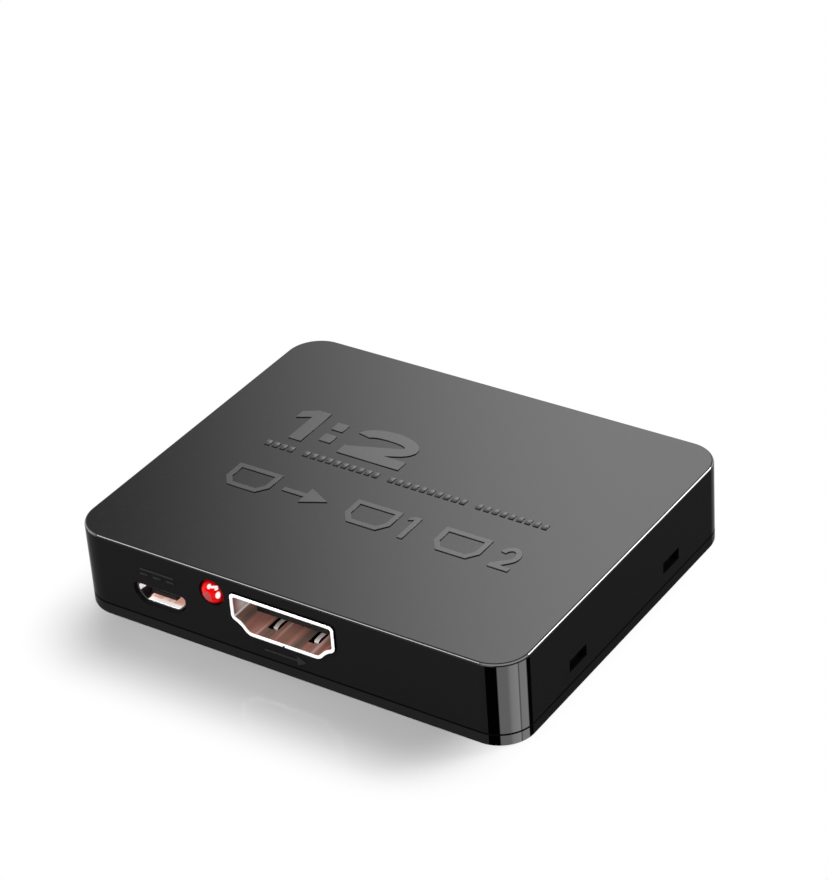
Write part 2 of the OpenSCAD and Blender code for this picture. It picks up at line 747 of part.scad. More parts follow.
// Large marks on the top, from the left: one to two, a row of small blocks, and a socket
// that leads to the two numbered ones
module top_marks() {
    translate([-marks_w / 2, figures_y]) {
        translate([1.5 * figure_stroke, 0]) figure_one(figure_h, figure_stroke);
        for (k = [0.18, 0.58])
            translate([3 * figure_stroke, figure_h * k]) square(figure_stroke * 0.9);
        translate([4.9 * figure_stroke + figure_h * 0.65, 0])
            figure_two(figure_h, figure_h * 1.3, figure_stroke);
    }
    for (i = blocks)
        translate([i * block_pitch - marks_w / 2, blocks_y]) square([block_pitch * 0.62, block_h]);
    translate([0, symbols_y]) {
        translate([(symbol_w - marks_w) / 2, 0]) socket_symbol(symbol_w, symbol_h, symbol_stroke);
        translate([symbol_w + symbols_gap - marks_w / 2, symbol_h / 2])
            arrow(marks_w - 3 * symbol_w - 2 * symbol_h - 4 * symbols_gap, symbol_h * 0.7, symbol_stroke);
        translate([marks_w / 2 - 1.5 * symbol_w - 2 * symbol_h - symbols_gap, 0])
            socket_symbol(symbol_w, symbol_h, symbol_stroke);
        translate([marks_w / 2 - symbol_w - 1.5 * symbol_h - symbols_gap, 0])
            figure_one(symbol_h, symbol_stroke);
        translate([(-symbol_w + marks_w) / 2 - symbol_h, 0])
            socket_symbol(symbol_w, symbol_h, symbol_stroke);
        translate([marks_w / 2 - symbol_h * 0.3, 0])
            figure_two(symbol_h, symbol_h * 0.6, symbol_stroke);
    }
}

// Lays a flat mark on a socket face: u runs to the right as seen from outside, v upwards
module face_mark(x, z, side) {
    translate([x, side * case_d / 2, z]) rotate([90, 0, side < 0 ? 0 : 180])
        linear_extrude(mark_t) children();
}

label_z = (hdmi_z + seam_z - opening_gap) / 2 - label_h / 2;
usb_label_z = (board_top + usb_h + ceiling_z - label_h) / 2;

module cover_marks() {
    color("#3a3a3d") {
        translate([0, 0, case_h]) linear_extrude(mark_t) top_marks();
        // Arrow under the input
        face_mark(0, label_z + label_h / 2, -1)
            translate([-1.8 * label_h, 0]) arrow(3.6 * label_h, label_h * 0.8, label_stroke);
        // Direct-current sign over the power socket
        face_mark(usb_x, usb_label_z, -1) {
            translate([-1.5 * label_h, label_h * 0.65]) square([3 * label_h, label_stroke]);
            for (i = [0:2])
                translate([(1.15 * i - 1.5) * label_h, label_h * 0.25]) square([0.7 * label_h, label_stroke]);
        }
        // Arrow and number under each output
        for (i = [1, 2]) face_mark((i == 1 ? 1 : -1) * output_x, label_z, 1) {
            translate([-3 * label_h, label_h / 2]) arrow(4.4 * label_h, label_h * 0.8, label_stroke);
            translate([2.4 * label_h, 0]) {
                if (i == 1) figure_one(label_h, label_stroke);
                if (i == 2) figure_two(label_h, label_h * 0.65, label_stroke);
            }
        }
    }
}

// Circuit board and what is soldered to it

module wire_hole(x, y, d) {
    translate([x, y, board_z - over]) cylinder(h = board_t + 2 * over, d = d);
}

wire_hole_d = sqrt(2) * wire_t + 2 * leg_gap;

module circuit_board() {
    color("#1f5a34")
        difference() {
            translate([0, 0, board_z]) slab(board_w, board_d, board_r, board_t);
            for (p = post_places) wire_hole(p[0], p[1], pin_d + 2 * pin_gap);
            at_face(0, -1, shell_proud) hdmi_legs(leg_gap);
            for (s = [-1, 1]) at_face(s * output_x, 1, shell_proud) hdmi_legs(leg_gap);
            for (s = [-1, 1]) {
                wire_hole(power_led_x + s * wire_pitch / 2, -case_d / 2 - led_proud + wire_bend, wire_hole_d);
                for (x = [-output_led_x, output_led_x])
                    wire_hole(x + s * wire_pitch / 2, case_d / 2 + led_proud - wire_bend, wire_hole_d);
                wire_hole(crystal_at[0] + s * crystal_pitch / 2, crystal_at[1], wire_hole_d);
            }
        }
}

module input_shell() color("#d8d8da") at_face(0, -1, shell_proud) hdmi_shell();
module input_insulator() color("#202022") at_face(0, -1, shell_proud) hdmi_insulator();
module input_contacts() color("#c9a24a") at_face(0, -1, shell_proud) hdmi_contacts();
module output_1_shell() color("#d8d8da") at_face(output_x, 1, shell_proud) hdmi_shell();
module output_1_insulator() color("#202022") at_face(output_x, 1, shell_proud) hdmi_insulator();
module output_1_contacts() color("#c9a24a") at_face(output_x, 1, shell_proud) hdmi_contacts();
module output_2_shell() color("#d8d8da") at_face(-output_x, 1, shell_proud) hdmi_shell();
module output_2_insulator() color("#202022") at_face(-output_x, 1, shell_proud) hdmi_insulator();
module output_2_contacts() color("#c9a24a") at_face(-output_x, 1, shell_proud) hdmi_contacts();
module usb_shell() color("#d8d8da") at_face(usb_x, -1, -usb_recess) usb_metal();
module usb_insulator() color("#202022") at_face(usb_x, -1, -usb_recess) usb_block();
module usb_contacts() color("#c9a24a") at_face(usb_x, -1, -usb_recess) usb_strips();
module power_led_lens() color("#d01020") at_face(power_led_x, -1, led_proud) led_lens();
module power_led_frame() color("#b8b8b8") at_face(power_led_x, -1, led_proud) led_frame(0);
module output_led_1_lens() color("#20c030") at_face(output_led_x, 1, led_proud) led_lens();
module output_led_1_frame() color("#b8b8b8") at_face(output_led_x, 1, led_proud) led_frame(0);
module output_led_2_lens() color("#20c030") at_face(-output_led_x, 1, led_proud) led_lens();
module output_led_2_frame() color("#b8b8b8") at_face(-output_led_x, 1, led_proud) led_frame(0);

// Puts a part on the board
module on_board(place) {
    translate([place[0], place[1], board_top]) children();
}

// Row of bent pins beside a chip's body, whose side lies at x = side_x
module pin_row(side_x, n, pitch, w, h) {
    for (i = [0:n - 1])
        translate([side_x, (i - (n - 1) / 2) * pitch, 0]) rotate([90, 0, 0])
            linear_extrude(w, center = true) polygon([
                [0, h], [pin_reach - pin_foot, h], [pin_reach - pin_foot, pin_sheet],
                [pin_reach, pin_sheet], [pin_reach, 0], [pin_reach - pin_foot - pin_sheet, 0],
                [pin_reach - pin_foot - pin_sheet, h - pin_sheet], [0, h - pin_sheet]
            ]);
}

// Chip body, raised a little above the board
module chip_body(w, d, h) {
    translate([-w / 2, -d / 2, chip_gap]) cube([w, d, h - chip_gap]);
}

module splitter_chip() color("#242428") on_board(chip_at) difference() {
    chip_body(chip_w, chip_w, chip_h);
    // Round mark of the first pin
    translate([chip_pitch * 2 - chip_w / 2, chip_pitch * 2 - chip_w / 2, chip_h - chip_gap])
        cylinder(h = over, d = chip_pitch * 1.6);
}

module splitter_chip_pins() color("#c4c4c8") on_board(chip_at)
    for (i = [0:3]) rotate(90 * i) pin_row(chip_w / 2, chip_pins, chip_pitch, chip_pin_w, chip_h / 2);

module memory_chip() color("#242428") on_board(at_share(memory_share)) difference() {
    chip_body(memory_w, memory_d, memory_h);
    translate([memory_pin_w * 2 - memory_w / 2, memory_pin_w * 2 - memory_d / 2, memory_h - chip_gap])
        cylinder(h = over, d = memory_pin_w * 1.6);
}

module memory_chip_pins() color("#c4c4c8") on_board(at_share(memory_share))
    for (a = [90, 270]) rotate(a) pin_row(memory_d / 2, memory_pins, memory_pitch, memory_pin_w, memory_h / 2);

module regulators() color("#242428")
    for (p = regulator_shares) on_board(at_share(p)) chip_body(regulator_w, regulator_d, regulator_h);

module regulator_leads() color("#c4c4c8")
    for (p = regulator_shares) on_board(at_share(p)) {
        rotate(90) pin_row(regulator_d / 2, 1, 0, regulator_tab_w, regulator_h / 2);
        rotate(270) pin_row(regulator_d / 2, 3, regulator_pitch, regulator_pin_w, regulator_h / 2);
    }

// Oval block, as a crystal's can is
module oval(w, d, h) {
    linear_extrude(h) {
        square([w - d, d], center = true);
        for (s = [-1, 1]) translate([s * (w - d) / 2, 0]) circle(d = d);
    }
}

module crystal_can() color("#c8c8cc") on_board(crystal_at) {
    oval(crystal_w + 2 * crystal_rim, crystal_d + 2 * crystal_rim, crystal_rim_h);
    oval(crystal_w, crystal_d, crystal_h);
}

module crystal_wires() color("#c4c4c8") on_board(crystal_at)
    for (s = [-1, 1])
        translate([s * crystal_pitch / 2, 0, -board_t - leg_tail]) cylinder(h = board_t + leg_tail, d = wire_t);

module capacitor_cans() color("#cfcfd2")
    for (p = can_shares) on_board(at_share(p)) translate([0, 0, can_base_h]) rotate_extrude() polygon([
        [0, 0], [can_d / 2, 0], [can_d / 2, can_groove_z - can_groove],
        [can_d / 2 - can_groove, can_groove_z], [can_d / 2, can_groove_z + can_groove],
        [can_d / 2, can_h - can_groove], [can_d / 2 - can_groove, can_h], [0, can_h]
    ]);

can_base_w = can_d + 2 * can_base_rim;

module capacitor_bases() color("#1a1a1c")
    for (p = can_shares) on_board(at_share(p)) linear_extrude(can_base_h) polygon([
        [-can_base_w / 2, -can_base_w / 2], [can_base_w / 2, -can_base_w / 2],
        [can_base_w / 2, can_base_w / 2 - can_base_cut], [can_base_w / 2 - can_base_cut, can_base_w / 2],
        [can_base_cut - can_base_w / 2, can_base_w / 2], [-can_base_w / 2, can_base_w / 2 - can_base_cut]
    ]);

module power_inductor() color("#3b3a3c") on_board(at_share(inductor_share))
    translate([0, 0, inductor_end_t]) slab(inductor_w - 2 * inductor_end_t, inductor_w, inner_r, inductor_h);

module inductor_ends() color("#c4c4c8") on_board(at_share(inductor_share))
    for (s = [-1, 1]) mirror([s < 0 ? 1 : 0, 0, 0])
        rotate([90, 0, 0]) linear_extrude(inductor_w / 2, center = true) polygon([
            [inductor_w / 2 - inductor_end_w, 0], [inductor_w / 2, 0], [inductor_w / 2, inductor_h / 2],
            [inductor_w / 2 - inductor_end_t, inductor_h / 2],
            [inductor_w / 2 - inductor_end_t, inductor_end_t], [inductor_w / 2 - inductor_end_w, inductor_end_t]
        ]);

// Middle of a small part, between its metal ends
module small_body(h) {
    translate([end_w - part_w / 2, -part_d / 2, 0]) cube([part_w - 2 * end_w, part_d, h]);
}

module small_ends(h) {
    for (s = [-1, 1]) translate([s * (part_w - end_w) / 2 - end_w / 2, -part_d / 2, 0]) cube([end_w, part_d, h]);
}

module chip_capacitors() color("#a58a5c") for (p = cap_places) on_board(p) small_body(cap_h);
module chip_resistors() color("#1d1d20") for (p = resistor_shares) on_board(at_share(p)) small_body(resistor_h);

module chip_ends() color("#c4c4c8") {
    for (p = cap_places) on_board(p) small_ends(cap_h);
    for (p = resistor_shares) on_board(at_share(p)) small_ends(resistor_h);
}

// Surge arrays in a row behind each HDMI socket's contacts
module surge_arrays() color("#2a2a2e")
    for (port = [[0, -1], [output_x, 1], [-output_x, 1]], k = array_steps)
        translate([port[0] + k * array_spread - array_w / 2, port[1] * array_y - array_d / 2, board_top])
            cube([array_w, array_d, array_h]);

bottom_tray();
top_cover();
cover_marks();
circuit_board();
input_shell();
input_insulator();
input_contacts();
output_1_shell();
output_1_insulator();
output_1_contacts();
output_2_shell();
output_2_insulator();
output_2_contacts();
usb_shell();
usb_insulator();
usb_contacts();
power_led_lens();
power_led_frame();
output_led_1_lens();
output_led_1_frame();
output_led_2_lens();
output_led_2_frame();
splitter_chip();
splitter_chip_pins();
memory_chip();
memory_chip_pins();
regulators();
regulator_leads();
crystal_can();
crystal_wires();
capacitor_cans();
capacitor_bases();
power_inductor();
inductor_ends();
chip_capacitors();
chip_resistors();
chip_ends();
surge_arrays();
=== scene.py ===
"""Video splitter: the finished pieces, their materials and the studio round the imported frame."""

import json
import math

import bpy
from bpy.props import FloatProperty, FloatVectorProperty, IntProperty, PointerProperty
from bpy.types import NodeSocket, Operator, Panel, PropertyGroup
from mathutils import Matrix, Vector

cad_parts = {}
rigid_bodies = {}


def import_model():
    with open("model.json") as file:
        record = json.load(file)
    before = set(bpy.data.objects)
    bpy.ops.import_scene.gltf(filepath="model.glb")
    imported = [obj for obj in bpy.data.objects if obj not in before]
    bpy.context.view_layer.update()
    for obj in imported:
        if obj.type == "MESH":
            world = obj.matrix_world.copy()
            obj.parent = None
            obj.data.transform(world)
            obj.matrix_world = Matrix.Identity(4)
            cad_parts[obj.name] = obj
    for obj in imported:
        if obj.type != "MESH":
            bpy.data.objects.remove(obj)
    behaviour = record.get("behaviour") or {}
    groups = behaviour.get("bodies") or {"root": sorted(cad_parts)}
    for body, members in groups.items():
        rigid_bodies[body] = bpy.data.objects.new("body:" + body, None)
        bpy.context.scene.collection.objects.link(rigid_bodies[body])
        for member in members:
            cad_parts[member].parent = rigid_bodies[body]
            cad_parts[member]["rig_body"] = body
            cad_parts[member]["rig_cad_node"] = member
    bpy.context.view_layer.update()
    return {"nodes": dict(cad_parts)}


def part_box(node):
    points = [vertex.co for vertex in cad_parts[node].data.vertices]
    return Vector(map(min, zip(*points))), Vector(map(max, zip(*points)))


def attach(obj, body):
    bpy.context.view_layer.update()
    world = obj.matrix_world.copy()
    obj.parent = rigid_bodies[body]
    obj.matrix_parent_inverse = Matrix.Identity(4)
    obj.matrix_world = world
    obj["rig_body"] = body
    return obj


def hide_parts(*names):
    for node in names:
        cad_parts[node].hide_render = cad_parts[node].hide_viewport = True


bl_info = {
    "name": "Video Splitter",
    "version": (1, 0, 0),
    "blender": (4, 5, 0),
    "location": "3D Viewport > Sidebar > Splitter",
    "description": "Models the case, sockets, lamps and marks of a video splitter, and sets up its studio",
    "category": "Object",
}

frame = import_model()
CASE_LOW, CASE_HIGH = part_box("top_cover")
TRAY_LOW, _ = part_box("bottom_tray")
SHELL_LOW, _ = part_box("input_shell")
USB_LOW, USB_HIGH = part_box("usb_shell")
LAMP_LOW, LAMP_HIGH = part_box("power_led_lens")
BOARD_LOW, BOARD_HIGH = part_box("circuit_board")
OUT_LAMP_LOW, OUT_LAMP_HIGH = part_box("output_led_1_lens")
OUT_SHELL_LOW, OUT_SHELL_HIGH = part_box("output_1_shell")

MM = 0.001
NEAR = 1e-5  # closer than this counts as touching
DOUBLE = 1e-6  # closer than this, two vertices are one
FACES = 0.9  # a face looks along an axis when its normal has more than this of it
SQUARE = 0.95  # the same for a wall, without the start of its rounded corner
UPRIGHT = 0.05  # a wall is upright when its normal has less than this of Z
CHAMFER, SMALL_ROUND, ROUND = 1, 2, 6  # steps in a chamfer, a tiny rounding and one that shows
CASE_ANGLE, METAL_ANGLE = 32, 40  # in degrees; where faces meet at less, they are shaded as one surface

# Middles of the sockets and lamps along X, with the side of the case that each is on
USB_X = (USB_LOW.x + USB_HIGH.x) / 2
LAMP_X, LAMP_Z = (LAMP_LOW.x + LAMP_HIGH.x) / 2, (LAMP_LOW.z + LAMP_HIGH.z) / 2
OUT_X = (OUT_SHELL_LOW.x + OUT_SHELL_HIGH.x) / 2
OUT_LAMP_X = (OUT_LAMP_LOW.x + OUT_LAMP_HIGH.x) / 2
SOCKETS = ((0, -1), (OUT_X, 1), (-OUT_X, 1))
LAMPS = ((LAMP_X, -1), (OUT_LAMP_X, 1), (-OUT_LAMP_X, 1))

WHITE = (1.0, 1.0, 1.0)


def length(name, description, millimetres, low=0.0, high=100.0):
    """A size in metres with its default given in millimetres."""
    return FloatProperty(
        name=name, description=description, default=millimetres * MM, min=low * MM, max=high * MM,
        precision=5, unit="LENGTH", subtype="DISTANCE")


def amount(name, description, value, low=0.0, high=1.0, **more):
    """A plain number, such as a share, a strength or a refractive index."""
    return FloatProperty(name=name, description=description, default=value, min=low, max=high, **more)


def tint(name, description, value):
    """A linear colour."""
    return FloatVectorProperty(
        name=name, description=description, default=value, size=3, min=0.0, max=1.0, subtype="COLOR")


def steps_of(name, description, value, low, high):
    """A number of segments."""
    return IntProperty(name=name, description=description, default=value, min=low, max=high)


class SPLITTER_PG_case(PropertyGroup):
    """Sizes of the two halves of the case."""

    corner: length("Corner radius", "Radius of the case's upright corners", 4.6, 1, 10)
    corner_steps: steps_of("Corner steps", "Segments in each upright corner", 20, 4, 64)
    edge: length("Top edge radius", "Rounding of the cover's top edge", 0.35, 0.05, 1)
    groove: length("Seam chamfer", "Chamfer on both sides of the seam", 0.13, 0.02, 0.3)
    foot: length("Foot chamfer", "Chamfer round the bottom of the tray", 0.3, 0.05, 0.6)
    wall: length("Wall", "Thickness of the side walls", 1.5, 0.8, 2)
    top: length("Top", "Thickness of the cover's top", 1.0, 0.5, 2)
    floor: length("Floor", "Thickness of the tray's floor", 1.2, 0.5, 2)
    lip: length("Lip thickness", "Thickness of the tray's lip and hooks", 0.9, 0.4, 1.5)
    lip_gap: length("Lip gap", "Space between the tray's lip and the cover", 0.1, 0.02, 0.3)
    lip_height: length("Lip height", "Height of the lip above the seam", 0.7, 0.2, 1)
    window: length("Window length", "Length of a window for a snap hook", 3.9, 2, 6)
    window_height: length("Window height", "Height of a window", 1.65, 1, 2.5)
    window_low: length("Window place", "Height of a window's lower edge above the table", 3.4, 2.5, 5)
    catch: length("Catch place", "Distance of each snap hook from the middle of the side", 11.2, 5, 18)
    hook_gap: length("Hook gap", "Space between a hook and its window's ends", 0.3, 0.05, 0.6)
    nose: length("Hook nose", "How far a hook reaches into its window", 0.9, 0.2, 1.4)
    hook_head: length("Hook head", "How far a hook rises above its nose", 0.45, 0.1, 1)
    rim: length("Opening edge", "Rounding of the edges of windows and lamp holes", 0.07, 0.01, 0.2)
    post: length("Post diameter", "Diameter of the posts that clamp the board", 3.8, 2, 5)
    pin: length("Pin diameter", "Diameter of the tray's locating pins", 1.8, 1, 3)
    pin_rise: length("Pin height", "Height of a pin above the board", 1.2, 0.5, 2)
    post_x: length("Post place across", "Distance of the posts from the middle, along X", 26.3, 20, 28)
    post_front: length("Front post place", "Distance of the input side's posts from the middle", 17.5, 10, 20)
    post_back: length("Back post place", "Distance of the output side's posts from the middle", 8.7, 2, 20)


class SPLITTER_PG_sockets(PropertyGroup):
    """Sizes of the sheet metal sockets."""

    width: length("Shell width", "Outer width of a video socket's shell", 15.0, 12, 17)
    height: length("Shell height", "Outer height of a video socket's shell", 5.45, 4, 7)
    base: length("Shell base", "Width of the shell's bottom", 10.3, 8, 12)
    kink: length("Kink width", "Width between the two inward kinks", 12.6, 10, 14)
    kink_height: length("Kink height", "Height of the kinks above the bottom", 1.28, 0.5, 2)
    side: length("Side height", "Height at which the upright sides start", 1.83, 1, 3)
    depth: length("Shell depth", "Length of the shell", 11.5, 8, 14)
    lift: length("Shell lift", "Height of the shell above the board", 0.6, 0.2, 1.5)
    sheet: length("Sheet", "Thickness of the sheet metal", 0.45, 0.2, 0.6)
    bend: length("Bend", "Rounding of the shell's corners", 0.55, 0.2, 1)
    lip: length("Rim rounding", "Rounding of the rim at the mouth", 0.1, 0.02, 0.22)
    opening_gap: length("Opening gap", "Space between a shell and its opening in the cover", 0.12, 0.02, 0.4)
    finger: length("Finger width", "Width of a spring finger", 0.6, 0.4, 1.5)
    slot: length("Finger slot", "Width of the slot round a spring finger", 0.42, 0.1, 0.6)
    finger_x: length("Finger place", "Distance of a finger from the middle", 2.95, 2, 4)
    finger_start: length("Finger start", "Depth at which the slots start", 1.9, 1, 3)
    finger_end: length("Finger end", "Depth at which the slots end", 7.5, 5, 9)
    bead: length("Finger rise", "How far a spring finger rises into the socket", 0.2, 0.1, 0.6)
    leg: length("Leg width", "Width of a shell's solder leg", 1.4, 0.5, 2)
    leg_start: length("Leg place", "Depth of the front legs behind the mouth", 4.0, 2, 6)
    leg_pitch: length("Leg pitch", "Distance between the front and rear legs", 5.0, 3, 7)
    seam: length("Folded seam", "Width of the notch where the sheet's edges meet", 0.3, 0.05, 0.5)
    usb_width: length("USB width", "Outer width of the micro-USB shell", 7.5, 6, 9)
    usb_height: length("USB height", "Outer height of the micro-USB shell", 2.5, 2, 4)
    usb_base: length("USB base", "Width of the shell's bottom", 5.1, 4, 6)
    usb_side: length("USB side height", "Height at which its upright sides start", 1.3, 0.5, 2)
    usb_depth: length("USB depth", "Length of the shell", 5.0, 4, 7)
    usb_sheet: length("USB sheet", "Thickness of its sheet metal", 0.28, 0.1, 0.4)
    usb_gap: length("USB opening gap", "Space between it and its opening in the cover", 0.2, 0.05, 0.4)


class SPLITTER_PG_lamps(PropertyGroup):
    """Sizes of the indicator lamps."""

    diameter: length("Lamp diameter", "Diameter of a lamp", 3.4, 2, 5)
    hole_gap: length("Hole gap", "Space round a lamp in the cover's wall", 0.08, 0.02, 0.3)
    wire: length("Wire", "Thickness of a lamp's wires", 0.45, 0.2, 0.6)
    wire_pitch: length("Wire pitch", "Distance between a lamp's two wires", 2.0, 1, 3)
    steps: steps_of("Lamp steps", "Segments round a lamp", 48, 12, 96)
    dome_steps: steps_of("Dome steps", "Segments from a lamp's tip to its side", 14, 4, 32)


class SPLITTER_PG_marks(PropertyGroup):
    """Sizes of the raised marks."""

    edge: length("Mark edge", "Rounding of the marks' upper edges", 0.045, 0.01, 0.1)


class SPLITTER_PG_looks(PropertyGroup):
    """Colours and finishes."""

    case: tint("Case colour", "Colour of the case's plastic", (0.004, 0.004, 0.0043))
    lid_gloss: amount("Lid roughness", "Roughness of the polished lid", 0.06)
    lid_ior: amount("Lid IOR", "Refractive index of the lid's plastic", 1.31, 1, 2)
    wall_gloss: amount("Wall roughness", "Roughness of the side walls", 0.14)
    wall_ior: amount("Wall IOR", "Refractive index of the walls' plastic", 1.06, 1, 2)
    # The coat that paints the top edge's highlight and the corners' reflections
    polish: amount("Polish IOR", "Refractive index of the polish on edges and corners", 2.6, 1, 4)
    mark: tint("Mark colour", "Colour of the raised marks", (0.03, 0.03, 0.031))
    metal: tint("Rim colour", "Colour of the sockets' nickel at the mouth", (0.95, 0.945, 0.94))
    metal_inside: tint("Inside colour", "Colour of the input socket's metal further in", (0.4, 0.18, 0.14))
    metal_streak: tint("Streak colour", "Colour of the dark streaks further in", (0.15, 0.11, 0.085))
    red: tint("Power lamp", "Colour of the power lamp", (1.0, 0.001, 0.003))
    green: tint("Output lamps", "Colour of the output lamps", (0.005, 0.85, 0.012))


class SPLITTER_PG_stage(PropertyGroup):
    """Camera, lights and backdrop."""

    camera_place: FloatVectorProperty(
        name="Camera", description="Place of the camera", default=(0.18038, -0.25198, 0.2155), size=3,
        subtype="TRANSLATION", unit="LENGTH")
    focal: amount("Focal length", "Focal length in millimetres", 123.18, 10, 400)
    key_power: amount("Key power", "Power of the key lamp behind the object", 3.6, 0, 200, unit="POWER")
    fill_power: amount("Fill power", "Power of the lamp left of the input face", 2.0, 0, 200, unit="POWER")
    front_power: amount("Front power", "Power of the low lamp before the sockets", 1.2, 0, 200, unit="POWER")
    socket_power: amount(
        "Socket power", "Power of the lamps that light only the sockets' metal", 2.4, 0, 200, unit="POWER")
    ambient: amount("Ambient light", "Strength of the surrounding light", 0.28, 0, 2)
    fade_left: length("Fade left", "How much nearer the white background comes on the left", 10, 0, 30)
    fade_back: length("Fade back", "How much nearer it comes behind and on the right", 14, 0, 30)
    fade: length("Fade", "Distance before the case at which the floor is plain white", 15.8, 2, 60)
    white: amount("Background", "Strength of the white background that the camera and reflections see", 1.0)
    screen: amount("Screen", "Strength of the dark screen that the lid mirrors from behind", 0.09)
    floor: tint("Floor colour", "Colour of the floor", (0.66, 0.66, 0.66))


# Modelling helpers


def settings():
    return bpy.context.scene.splitter


def deselect():
    """Leaves edit mode and deselects everything."""
    active = bpy.context.view_layer.objects.active
    if active is not None and active.mode != "OBJECT":
        leave()
    bpy.ops.object.select_all(action="DESELECT")


def activate(obj):
    deselect()
    obj.select_set(True)
    bpy.context.view_layer.objects.active = obj


def enter(obj):
    """Opens the piece in edit mode with all of it selected."""
    activate(obj)
    bpy.ops.object.mode_set(mode="EDIT")
    bpy.ops.mesh.select_all(action="SELECT")


def leave():
    bpy.ops.object.mode_set(mode="OBJECT")


def settle(obj, name):
    """Names the new piece and puts its place into its mesh."""
    obj.name = name
    obj.data.name = name
    activate(obj)
    bpy.ops.object.transform_apply(location=True, rotation=True, scale=True)
    return obj


def move(obj, offset):
    activate(obj)
    bpy.ops.transform.translate(value=offset)
    settle(obj, obj.name)


def turn_round(obj, x):
    """Turns a piece of the input side to the output side, to that place along X."""
    activate(obj)
    bpy.ops.transform.rotate(value=math.pi, orient_axis="Z", center_override=(0, 0, 0))
    move(obj, (x, 0, 0))


def block(name, low, high):
    """A box between two corners, to be cut, bevelled or joined."""
    low, high = Vector(low), Vector(high)
    deselect()
    bpy.ops.mesh.primitive_cube_add(size=1, location=(low + high) / 2, scale=high - low)
    return settle(bpy.context.active_object, name)


def rod(name, start, end, radius, steps=32):
    """A round rod between two points."""
    start, end = Vector(start), Vector(end)
    turn = (end - start).to_track_quat("Z", "Y").to_euler()
    deselect()
    bpy.ops.mesh.primitive_cylinder_add(
        vertices=steps, radius=radius, depth=(end - start).length, location=(start + end) / 2, rotation=turn)
    return settle(bpy.context.active_object, name)


def pick(obj, kind, test):
    """Enters edit mode with the edges or faces that pass the test selected."""
    enter(obj)
    bpy.ops.mesh.select_mode(type=kind)
    bpy.ops.mesh.select_all(action="DESELECT")
    leave()
    mesh = obj.data
    if kind == "EDGE":
        points = [v.co for v in mesh.vertices]
        for e in mesh.edges:
            e.select = test(points[e.vertices[0]], points[e.vertices[1]])
        chosen = any(e.select for e in mesh.edges)
    else:
        for f in mesh.polygons:
            f.select = test(f.center, f.normal)
        chosen = any(f.select for f in mesh.polygons)
    if not chosen:
        raise RuntimeError("nothing selected on " + obj.name)
    bpy.ops.object.mode_set(mode="EDIT")


def bevel(obj, test, offset, steps):
    """Rounds the edges that pass the test, or chamfers them with one step."""
    pick(obj, "EDGE", test)
    bpy.ops.mesh.bevel(offset=offset, offset_type="OFFSET", segments=steps, affect="EDGES")
    leave()


def sink(obj, test, *moves):
    """Insets the faces that pass the test by a thickness and moves them along Z, once for each pair."""
    pick(obj, "FACE", test)
    for thickness, rise in moves:
        bpy.ops.mesh.inset(thickness=thickness, depth=0)
        bpy.ops.mesh.extrude_region_move(TRANSFORM_OT_translate={"value": (0, 0, rise)})
    leave()


def chain(name, points):
    """Draws a line of vertices from point to point, by extruding one vertex."""
    points = [Vector(p) for p in points]
    deselect()
    bpy.ops.mesh.primitive_plane_add(size=MM, location=points[0])
    obj = settle(bpy.context.active_object, name)
    bpy.ops.object.mode_set(mode="EDIT")
    bpy.ops.mesh.select_mode(type="VERT")
    bpy.ops.mesh.select_all(action="SELECT")
    bpy.ops.mesh.merge(type="CENTER")
    for before, after in zip(points, points[1:]):
        bpy.ops.mesh.extrude_region_move(TRANSFORM_OT_translate={"value": after - before})
    leave()
    return obj


def prism(name, points, along, bend=0.0, steps=5):
    """A solid drawn as an outline and extruded; bend rounds the outline's corners."""
    obj = chain(name, points)
    enter(obj)
    bpy.ops.mesh.edge_face_add()
    if bend:
        bpy.ops.mesh.bevel(offset=bend, offset_type="OFFSET", segments=steps, affect="VERTICES")
        bpy.ops.mesh.select_all(action="SELECT")
    bpy.ops.mesh.extrude_region_move(TRANSFORM_OT_translate={"value": Vector(along)})
    bpy.ops.mesh.select_all(action="SELECT")
    bpy.ops.mesh.normals_make_consistent(inside=False)
    leave()
    return obj


def modify(obj, kind, **values):
    """Adds a modifier with those values and applies it."""
    modifier = obj.modifiers.new(kind.title(), kind)
    for key, value in values.items():
        setattr(modifier, key, value)
    activate(obj)
    bpy.ops.object.modifier_apply(modifier=modifier.name)


def combine(obj, others, how):
    """Cuts the others from a piece, or adds them to it, and removes them."""
    for other in others:
        modify(obj, "BOOLEAN", operation=how, solver="EXACT", object=other)
        bpy.data.objects.remove(other)


def copy_of(obj, name):
    """A copy with its own mesh."""
    activate(obj)
    bpy.ops.object.duplicate(linked=False)
    twin = bpy.context.active_object
    twin.name = name
    twin.data.name = name
    return twin


def finish_surface(obj, angle):
    """Shades the piece smooth up to an angle in degrees, with its flat faces left flat."""
    activate(obj)
    bpy.ops.object.shade_smooth_by_angle(angle=math.radians(angle))
    modify(obj, "WEIGHTED_NORMAL", keep_sharp=True, weight=80)


def hand_over(obj, slot, *nodes):
    """The piece takes its place on the frame."""
    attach(obj, "root")
    if nodes:
        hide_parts(*nodes)


# Shader helpers


